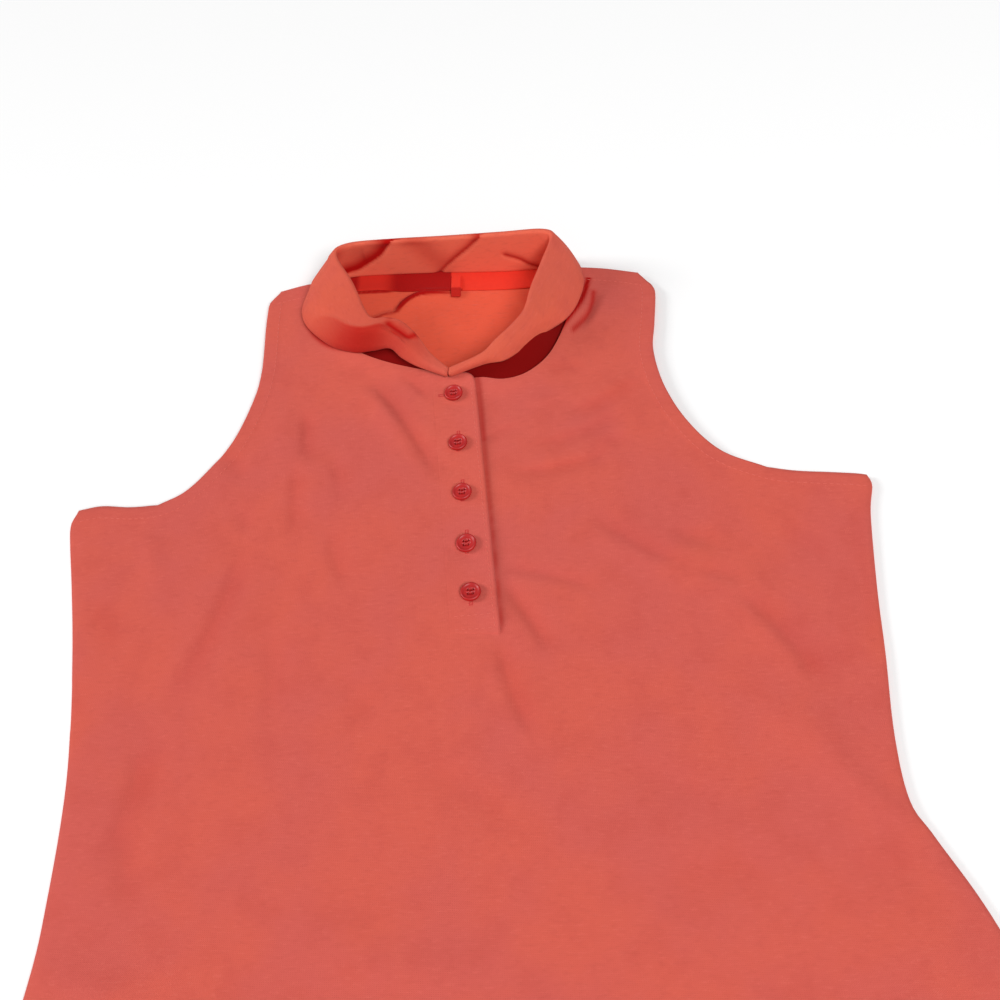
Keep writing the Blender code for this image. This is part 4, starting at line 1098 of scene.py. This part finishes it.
shares = np.linspace(0, 1, BAND_CELLS_ACROSS + 1)
shares = np.concatenate([[-TUCK_IN / BAND_WIDTH], shares])[None, :]
ups = np.linspace(0, 1, BAND_CELLS_UP + 1)[:, None]
foot = BAND_FOOT[1]
top = band_top(band_edge(BAND_TOP[1]) - BAND_WIDTH * (1 - shares))
past = np.clip(BAND_CORNER - BAND_WIDTH * (1 - shares), 0, BAND_CORNER)
top = top - (BAND_CORNER - np.sqrt(BAND_CORNER ** 2 - past ** 2))
y = foot + (top - foot) * ups
y = np.vstack([y[:1] - TUCK_IN, y])
x = band_edge(y) - BAND_WIDTH * (1 - shares)
tucked = np.zeros(x.shape)
tucked[0] = tucked[:, 0] = TUCK_DROP
band = cloth("buttonhole_band", np.dstack([x, y, band_height(x, y) - tucked]), DOUBLE_CLOTH,
             coral_jersey, np.dstack([x, y]))
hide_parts("placket_top")

shares = np.linspace(0, 1, UNDER_BAND_CELLS + 1)[None, :]
y = foot + (band_top(slot_right(BAND_TOP[1]) - UNDER_BAND_WIDTH * (1 - shares)) - GAP - foot) * ups
x = slot_right(y) - UNDER_BAND_WIDTH * (1 - shares)
under_z = plain_front_height(x, y) - UNDER_BAND_DROP * (1 - shares) - UNDER_BAND_SINK
under = cloth("button_band", np.dstack([x, y, under_z]), CLOTH, coral_jersey, np.dstack([x, y]))
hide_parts("placket_under")

# ---------------------------------------------------------------------------------------
# Neck tape and tab: a bright red woven tape stitched over the back neck seam inside, with a
# small folded tab of it at the centre back.
TAPE_WIDTH, TAPE_ENDS, TAPE_INSET = 13, (-73, 46), 3
TAPE_CELLS = (89, 13)  # along it and across
# How far the tape's lower edge has rolled under at its left end, where that starts, and over
# what length.
TAPE_ROLL, TAPE_ROLL_FROM, TAPE_ROLL_LENGTH = 2.6, -38, 20
BRIGHT_TAPE = (0.86, 0.045, 0.02, 1)
WORN_TAPE = (0.78, 0.035, 0.018, 1)
# Painted shadow and shade on the tape: duller under the collar's left leaf, and near black where
# the back folds beside the tab, at the tab's end and at the far left tip.
PAINTED_SHADOW_TAPE = (0.58, 0.02, 0.012, 1)
PAINTED_DARK_SHADE_TAPE = (0.40, 0.003, 0.002, 1)
# Stretches of the tape's painted shadow and shade, each as two places along it in metres,
# from none to full.
PAINTED_SHADOW_SPAN = (-0.044, -0.056)
PAINTED_FOLD_SHADE_START, PAINTED_FOLD_SHADE_END = (-0.056, -0.044), (-0.0112, -0.0118)
PAINTED_TIP_SHADOW = (-0.066, -0.07)
PAINTED_SHADOW_SHARE = 0.7
TAPE_SCALE, TWILL, TWILL_RELIEF = 300.0, 0.0011, 0.0001  # lumps a metre; metres
TAPE_ROUGHNESS, TAPE_SHINE = 0.8, {"Sheen Weight": 0.05, "Specular IOR Level": 0.15}
TAPE_CLOTH = 0.9
TAPE_TUCK_IN = 4  # how far the tape runs on under the stand
TAB_CENTRE_X, TAB_SIZE, TAB_SET_DOWN = -8.5, (5, 17), 2
TAB_FINE, TAB_HUMP = 16, 0.5  # points across it, and how far its middle stands off the tape
# The tab's shaded end: from how far above the tape's lower edge it starts, over what height,
# how deep it is, and its two sides, each from none to full in metres.
TAB_DARK_BELOW, TAB_DARK_FADE, TAB_DARK_SHARE = 1.5, 2, 0.75
TAB_DARK_SIDES = ((-0.004, -0.005), (-0.013, -0.012))


def back_seam_y(x):
    """Y of the neck seam across the back."""
    seam = neck_seam(BACK_FIRST_ROW, BACK_LAST_ROW)
    order = np.argsort(seam[:, 0])
    return np.interp(x, seam[order, 0], seam[order, 1])


def tape_finish():
    """Woven tape: saturated red, with a fine twill bump, painted shadow dulling it towards its
    left end and painted shade darkening it where the back folds beside the tab."""
    finish = Finish("red_tape", TAPE_ROUGHNESS, TAPE_SHINE)
    at, u, v = in_cloth(finish)
    colour = mixed(finish, noise(finish, at, TAPE_SCALE), BRIGHT_TAPE, WORN_TAPE)
    colour = mixed(finish, between(finish, u, *PAINTED_SHADOW_SPAN) * PAINTED_SHADOW_SHARE, colour, PAINTED_SHADOW_TAPE)
    # painted shade where the back folds beside the tab
    folded = between(finish, u, *PAINTED_FOLD_SHADE_START) * between(finish, u, *PAINTED_FOLD_SHADE_END)
    edge = (back_seam_y(TAB_CENTRE_X) - TAPE_INSET - TAPE_WIDTH + TAB_DARK_BELOW) * MM
    tab_right, tab_left = (between(finish, u, *side) for side in TAB_DARK_SIDES)
    tab_end = between(finish, v, edge, edge - TAB_DARK_FADE * MM) * tab_right * tab_left
    colour = mixed(finish, tab_end * TAB_DARK_SHARE, colour, PAINTED_DARK_SHADE_TAPE)
    finish.colour(mixed(finish, folded + between(finish, u, *PAINTED_TIP_SHADOW), colour, PAINTED_DARK_SHADE_TAPE))
    twill = u.math("SINE", (u + v) * (2 * np.pi / TWILL))
    finish.bump(twill * 0.5 + 0.5, TWILL_RELIEF)
    return finish.material


red_tape = tape_finish()
x = np.linspace(*TAPE_ENDS, TAPE_CELLS[0] + 1)[None, :]
across = np.linspace(0, 1, TAPE_CELLS[1] + 1)[:, None]
high = back_seam_y(x) - TAPE_INSET + TAPE_TUCK_IN
drop = TAPE_WIDTH + TAPE_TUCK_IN - TAPE_ROLL * ease((TAPE_ROLL_FROM - x) / TAPE_ROLL_LENGTH)
y = high - drop * (1 - across)
x = np.broadcast_to(x, y.shape)
tape_z = back_height(x, y) + (CLOTH + TAPE_CLOTH) / 2
tape = cloth("tape", np.dstack([x, y, tape_z]), TAPE_CLOTH, red_tape, np.dstack([x, y]))
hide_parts("neck_tape")

width, height = TAB_SIZE
high = back_seam_y(TAB_CENTRE_X) - TAPE_INSET - TAB_SET_DOWN
x = TAB_CENTRE_X + np.linspace(-width / 2, width / 2, TAB_FINE)[None, :]
y = high - height * (1 - np.linspace(0, 1, 2 * TAB_FINE)[:, None])
x, y = np.broadcast_arrays(x, y)
hump = TAB_HUMP * np.sin(np.pi * (high - y) / height)
tab_z = back_height(x, y) + CLOTH / 2 + 1.5 * TAPE_CLOTH + hump
tab = cloth("tab", np.dstack([x, y, tab_z]), TAPE_CLOTH, red_tape, np.dstack([x, y]))
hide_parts("neck_tab")

# ---------------------------------------------------------------------------------------
# Buttons: five turned resin discs in dark red, each with a raised rim and four holes, sewn
# on with red thread and buttoned through a satin-stitched hole of the same red.
BUTTON_Y = (73, 39.8, 8.2, -22.4, -49.8)
BUTTON_INSET, BUTTON_HEIGHT = 11.5, 2.2
BUTTON_SIDES = 48
BUTTON_SEAT = 0.15  # its clearance over the band
# The buttonholes, from the button's middle: upright or across, and where the two ends lie.
Hole = namedtuple("Hole", "upright low high")
HOLES = [Hole(*row) for row in (
    (False, -8.5, 3),
    (True, -5, 8.2),
    (True, -5, 8.2),
    (True, -5, 8.2),
    (True, -6.5, 6),
)]
SATIN_PITCH, SATIN_OFFSET, SATIN_LENGTH, SATIN_RADIUS = 0.35, 0.62, 1.0, 0.14
# Where a satin stitch's rings lie along it, and their share of its radius.
SATIN_SHARES, SATIN_SWELL = np.array([-0.5, -0.25, 0.25, 0.5]), np.array([0.6, 1, 1, 0.6])
# The thread over a button: it rises from one hole and dives into the next.
BAR_HALF, BAR_LOW, BAR_HIGH, BAR_RADIUS = 1.1, 0.9, 1.95, 0.34
BAR_RINGS, BAR_CURVE = 9, 6
THREAD_SIDES = 6
UP = np.array([0, 0, 1.0])
HOLE_RADIUS, HOLE_SPACING, HOLE_SIDES = 0.55, 2.2, 14
CUT_PAST = 1  # how far the holes' cutters run past the disc
# Radius and height of the disc's turned profile, from the middle of its back to its dish.
BUTTON_PROFILE = ((4.3, 0), (4.75, 0.25), (5, 0.8), (5, 1.4), (4.85, 1.9), (4.5, BUTTON_HEIGHT),
                  (4.15, 2.15), (3.9, 1.85), (3.6, 1.65), (3, 1.6))
RESIN, CLOUDED_RESIN = (0.50, 0.010, 0.009, 1), (0.42, 0.007, 0.008, 1)
RESIN_ROUGHNESS, RESIN_SHINE = 0.45, {"Coat Weight": 0.08, "Coat Roughness": 0.3}
RED_THREAD, PALE_RED_THREAD = (0.50, 0.010, 0.010, 1), (0.60, 0.025, 0.02, 1)
# Lumps a metre in each one's colour and in its relief, and the relief's metres.
RESIN_GRAIN, THREAD_GRAIN = (260.0, 900.0, 0.00004), (1400.0, 3000.0, 0.00008)


def resin():
    """Dark red resin, dulled by washing, with a faint cloudy depth."""
    finish = Finish("red_resin", RESIN_ROUGHNESS, RESIN_SHINE)
    at = finish.node("ShaderNodeTexCoord", out=3)
    clouds, pits, relief = RESIN_GRAIN
    cloud = between(finish, noise(finish, at, clouds, 3.0), 0.35, 0.65)
    finish.colour(mixed(finish, cloud, RESIN, CLOUDED_RESIN))
    finish.bump(noise(finish, at, pits), relief)
    return finish.material


def ring_faces(count, sides):
    """Quads between count rings of sides points each."""
    ring, side = np.meshgrid(np.arange(count - 1), np.arange(sides), indexing="ij")
    a, b = ring * sides + side, ring * sides + (side + 1) % sides
    return np.stack([a, b, b + sides, a + sides], axis=-1).reshape(-1, 4)


def turned_button():
    """The disc as vertices and faces, with its thread holes cut through."""
    angles = np.linspace(0, 2 * np.pi, BUTTON_SIDES, endpoint=False)
    radii, levels = np.array(BUTTON_PROFILE).T
    level = np.broadcast_to(levels[:, None], (len(radii), BUTTON_SIDES))
    rings = np.stack([radii[:, None] * np.cos(angles), radii[:, None] * np.sin(angles), level],
                     axis=-1).reshape(-1, 3)
    quads = ring_faces(len(radii), BUTTON_SIDES).tolist()
    last = (len(radii) - 1) * BUTTON_SIDES
    quads += [list(range(BUTTON_SIDES))[::-1], list(range(last, last + BUTTON_SIDES))]
    disc = bpy.data.meshes.new("disc")
    disc.from_pydata(rings.tolist(), [], quads)
    blank = placed("disc", disc)
    pins = bpy.data.meshes.new("pins")
    turn = np.linspace(0, 2 * np.pi, HOLE_SIDES, endpoint=False)
    vertices, faces = [], []
    for sx in (-1, 1):
        for sy in (-1, 1):
            base = len(vertices)
            for z in (-CUT_PAST, BUTTON_HEIGHT + CUT_PAST):
                vertices += np.column_stack([sx * HOLE_SPACING / 2 + HOLE_RADIUS * np.cos(turn),
                                             sy * HOLE_SPACING / 2 + HOLE_RADIUS * np.sin(turn),
                                             np.full(HOLE_SIDES, z)]).tolist()
            faces += (ring_faces(2, HOLE_SIDES) + base).tolist()
            faces += [list(range(base, base + HOLE_SIDES))[::-1],
                      list(range(base + HOLE_SIDES, base + 2 * HOLE_SIDES))]
    pins.from_pydata(vertices, [], faces)
    cutter = placed("pins", pins)
    cut = blank.modifiers.new("holes", "BOOLEAN")
    cut.operation, cut.solver, cut.object = "DIFFERENCE", "EXACT", cutter
    bpy.context.view_layer.update()
    evaluated = blank.evaluated_get(bpy.context.evaluated_depsgraph_get())
    holed = bpy.data.meshes.new_from_object(evaluated)
    for made in (blank, cutter):
        bpy.data.objects.remove(made)
    return holed


def seat_axes(x, y):
    """A place on the buttonhole band and the two directions along it and the one off it."""
    step = 0.5
    slope_x = (band_height(x + step, y) - band_height(x - step, y)) / (2 * step)
    slope_y = (band_height(x, y + step) - band_height(x, y - step)) / (2 * step)
    off = np.array([-float(slope_x), -float(slope_y), 1])
    off /= np.linalg.norm(off)
    along_x = np.cross([0, 1, 0], off)
    along_x /= np.linalg.norm(along_x)
    along_y = np.cross(off, along_x)
    at = np.array([x, y, float(band_height(x, y))]) + off * DOUBLE_CLOTH / 2
    return at, np.array([along_x, along_y, off])


def threads(paths, side, up, radii):
    """Round threads joined as one mesh: a ring of points about each point of each path, in the
    plane of side and up, and strips of quads across every thread's two ends."""
    turn = np.linspace(0, 2 * np.pi, THREAD_SIDES, endpoint=False)
    around = np.cos(turn)[:, None] * side[..., None, :] + np.sin(turn)[:, None] * up[..., None, :]
    points = paths[:, :, None] + np.asarray(radii)[:, None, None] * around
    rings = paths.shape[1]
    end = np.array([(i, i + 1, THREAD_SIDES - 2 - i, THREAD_SIDES - 1 - i)
                    for i in range(THREAD_SIDES // 2 - 1)])
    one = np.vstack([ring_faces(rings, THREAD_SIDES), end[:, ::-1],
                     end + (rings - 1) * THREAD_SIDES])
    first = np.arange(len(paths)) * rings * THREAD_SIDES
    return points.reshape(-1, 3), (one + first[:, None, None]).reshape(-1, 4)


def joined(meshes):
    """Several meshes' points and faces as one mesh's."""
    firsts = np.cumsum([0, *[len(points) for points, _ in meshes[:-1]]])
    return (np.vstack([points for points, _ in meshes]),
            np.vstack([faces + first for first, (_, faces) in zip(firsts, meshes)]))


def thread_finish(name, roughness, first, second):
    """Sewing thread: two near colours in fine noise, with a fine bump."""
    finish = Finish(name, roughness, {"Sheen Weight": 0.2})
    at = finish.node("ShaderNodeTexCoord", out=3)
    fibres, strands, relief = THREAD_GRAIN
    finish.colour(mixed(finish, noise(finish, at, fibres), first, second))
    finish.bump(noise(finish, at, strands), relief)
    return finish.material


def on_band(plan):
    """Points in plan set on the buttonhole band's upper skin."""
    x, y = plan[..., 0], plan[..., 1]
    return np.stack([x, y, band_height(x, y) + DOUBLE_CLOTH / 2], axis=-1)


def buttonhole(middle, hole):
    """Two rows of short threads across where the slit lies, and one across each of its ends."""
    way = np.array([0, 1.0]) if hole.upright else np.array([1.0, 0])
    aside = np.array([-way[1], way[0]])
    steps = np.arange(hole.low, hole.high, SATIN_PITCH)
    rows = [middle + steps[:, None] * way + aside * side * SATIN_OFFSET for side in (-1, 1)]
    bars = middle + np.array([hole.low, hole.high])[:, None] * way
    spots = np.vstack([*rows, bars])
    reach = np.concatenate([np.full(2 * len(steps), SATIN_LENGTH),
                            np.full(2, 2 * SATIN_OFFSET + SATIN_LENGTH)])
    paths = on_band(spots[:, None] + (reach[:, None] * SATIN_SHARES)[..., None] * aside)
    paths[:, [0, -1], 2] -= SATIN_RADIUS
    side = np.array([-aside[1], aside[0], 0])[None, None]
    return threads(paths, side, UP[None, None], SATIN_RADIUS * SATIN_SWELL)


holed = turned_button()
red_resin = resin()
red_thread = thread_finish("red_thread", 0.7, RED_THREAD, PALE_RED_THREAD)
sewn = []
disc_points = np.array([vertex.co for vertex in holed.vertices])
for number, (y, hole) in enumerate(zip(BUTTON_Y, HOLES), 1):
    at, axes = seat_axes(float(band_edge(y)) - BUTTON_INSET, y)
    mesh = holed.copy()
    seated = at + axes[2] * BUTTON_SEAT + disc_points @ axes
    mesh.vertices.foreach_set("co", ((seated - MIDDLE) * MM).ravel())
    mesh.materials.clear()
    mesh.materials.append(red_resin)
    mesh.polygons.foreach_set("use_smooth", np.ones(len(mesh.polygons), bool))
    mesh.update()
    button = placed(f"resin_button_{number}", mesh)
    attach(button, "root")
    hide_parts(f"button_{number}")
    share = np.linspace(-1, 1, BAR_RINGS)
    level = BAR_LOW + (BAR_HIGH - BAR_LOW) * (1 - share ** BAR_CURVE)
    bars = np.stack([np.column_stack([BAR_HALF * share, np.full(BAR_RINGS, across), level])
                     for across in (-HOLE_SPACING / 2, HOLE_SPACING / 2)])
    points, faces = threads(bars, np.array([[[0, 1.0, 0]]]), UP[None, None],
                            np.full(BAR_RINGS, BAR_RADIUS))
    sewn += [(at + axes[2] * BUTTON_SEAT + points @ axes, faces), buttonhole(at[:2], hole)]
sewn_threads = add_mesh("button_threads", *joined(sewn), red_thread)

# ---------------------------------------------------------------------------------------
# Stitching: rows of coral lockstitch, along the turned armholes and the hem, beside the
# shoulder seams, down the buttonhole band's free edge and across its foot.
STITCH_PITCH, STITCH_LENGTH, STITCH_RADIUS = 3.2, 2.3, 0.19
# Where a stitch's rings lie along it, and their share of its radius.
STITCH_SHARES = np.array([-0.5, -0.36, 0, 0.36, 0.5])
STITCH_SWELL = np.array([0.35, 0.85, 1, 0.85, 0.35])
STITCH_DIVE, STITCH_CURVE = 2, 6  # how far its ends dive, in its own radii, and how abruptly
ARMHOLE_STITCH, SHOULDER_STITCH, BAND_STITCH = 7, 1.8, 1.8  # how far inside the edge each row runs
HEM_STITCHES, FOOT_STITCHES, EDGE_START = (13, 17.5), (2, 9), 2  # how far up from hem or foot
SIDE_CLEAR, FOOT_CLEAR = 3, (2, 2.5)  # how far a row keeps from the side seams and the band's sides
HEM_SPANS, SHOULDER_SPANS, EDGE_SPANS, FOOT_SPANS = 20, 8, 11, 6  # spans of each row's line
CORAL_THREAD, PALE_CORAL_THREAD = (0.66, 0.11, 0.075, 1), (0.72, 0.14, 0.1, 1)


def stitched(line, height, lift):
    """A row of stitches along a line in plan: short threads a pitch apart, each lying on the
    cloth's upper skin and diving in at both ends."""
    total = np.linalg.norm(np.diff(line, axis=0), axis=1).sum()
    even = spaced(line, max(2, round(total / STITCH_PITCH)))
    middles, ways = (even[1:] + even[:-1]) / 2, np.diff(even, axis=0)
    ways /= np.linalg.norm(ways, axis=1, keepdims=True)
    plan = middles[:, None] + (STITCH_LENGTH * STITCH_SHARES)[:, None] * ways[:, None]
    dive = STITCH_DIVE * STITCH_RADIUS * np.abs(2 * STITCH_SHARES) ** STITCH_CURVE
    level = height(plan[..., 0], plan[..., 1]) + lift - dive
    side = np.column_stack([-ways[:, 1], ways[:, 0], np.zeros(len(ways))])[:, None]
    return threads(np.dstack([plan, level]), side, UP[None, None], STITCH_RADIUS * STITCH_SWELL)


def inset(line, apart):
    """A line in plan moved so far to its left."""
    way = np.gradient(line, axis=0)
    way /= np.linalg.norm(way, axis=1, keepdims=True)
    return line + apart * np.column_stack([-way[:, 1], way[:, 0]])


front_rows = [inset(curve[::FINE // 4], -ARMHOLE_STITCH) for curve in ARM_CURVES]
for up_hem in HEM_STITCHES:
    y = HEM_Y + up_hem
    start, end = (np.interp(y, *through(points)[:, ::-1].T) for points in (SIDE_LEFT, SIDE_RIGHT))
    front_rows.append(straight((start + SIDE_CLEAR, y), (end - SIDE_CLEAR, y), HEM_SPANS))
for points, side in ((SHOULDER_LEFT, -1), (SHOULDER_RIGHT, 1)):
    row = spaced(points, SHOULDER_SPANS) + wrap(SHOULDER_SPANS, side)
    front_rows.append(inset(row, -SHOULDER_STITCH)[1:-1])
rows = [stitched(line, front_height, CLOTH / 2) for line in front_rows]
y = np.linspace(BAND_FOOT[1] + EDGE_START, BAND_TOP[1] - BAND_CORNER, EDGE_SPANS + 1)
by_edge = np.column_stack([band_edge(y) - BAND_STITCH, y])
rows.append(stitched(by_edge, band_height, DOUBLE_CLOTH / 2))
for up_foot in FOOT_STITCHES:
    y = BAND_FOOT[1] + up_foot
    edge = band_edge(y)
    start, end = edge - BAND_WIDTH + FOOT_CLEAR[0], edge - FOOT_CLEAR[1]
    across = straight((start, y), (end, y), FOOT_SPANS)
    rows.append(stitched(across, band_height, DOUBLE_CLOTH / 2))
stitches = add_mesh("stitches", *joined(rows),
                    thread_finish("coral_thread", 0.8, CORAL_THREAD, PALE_CORAL_THREAD))
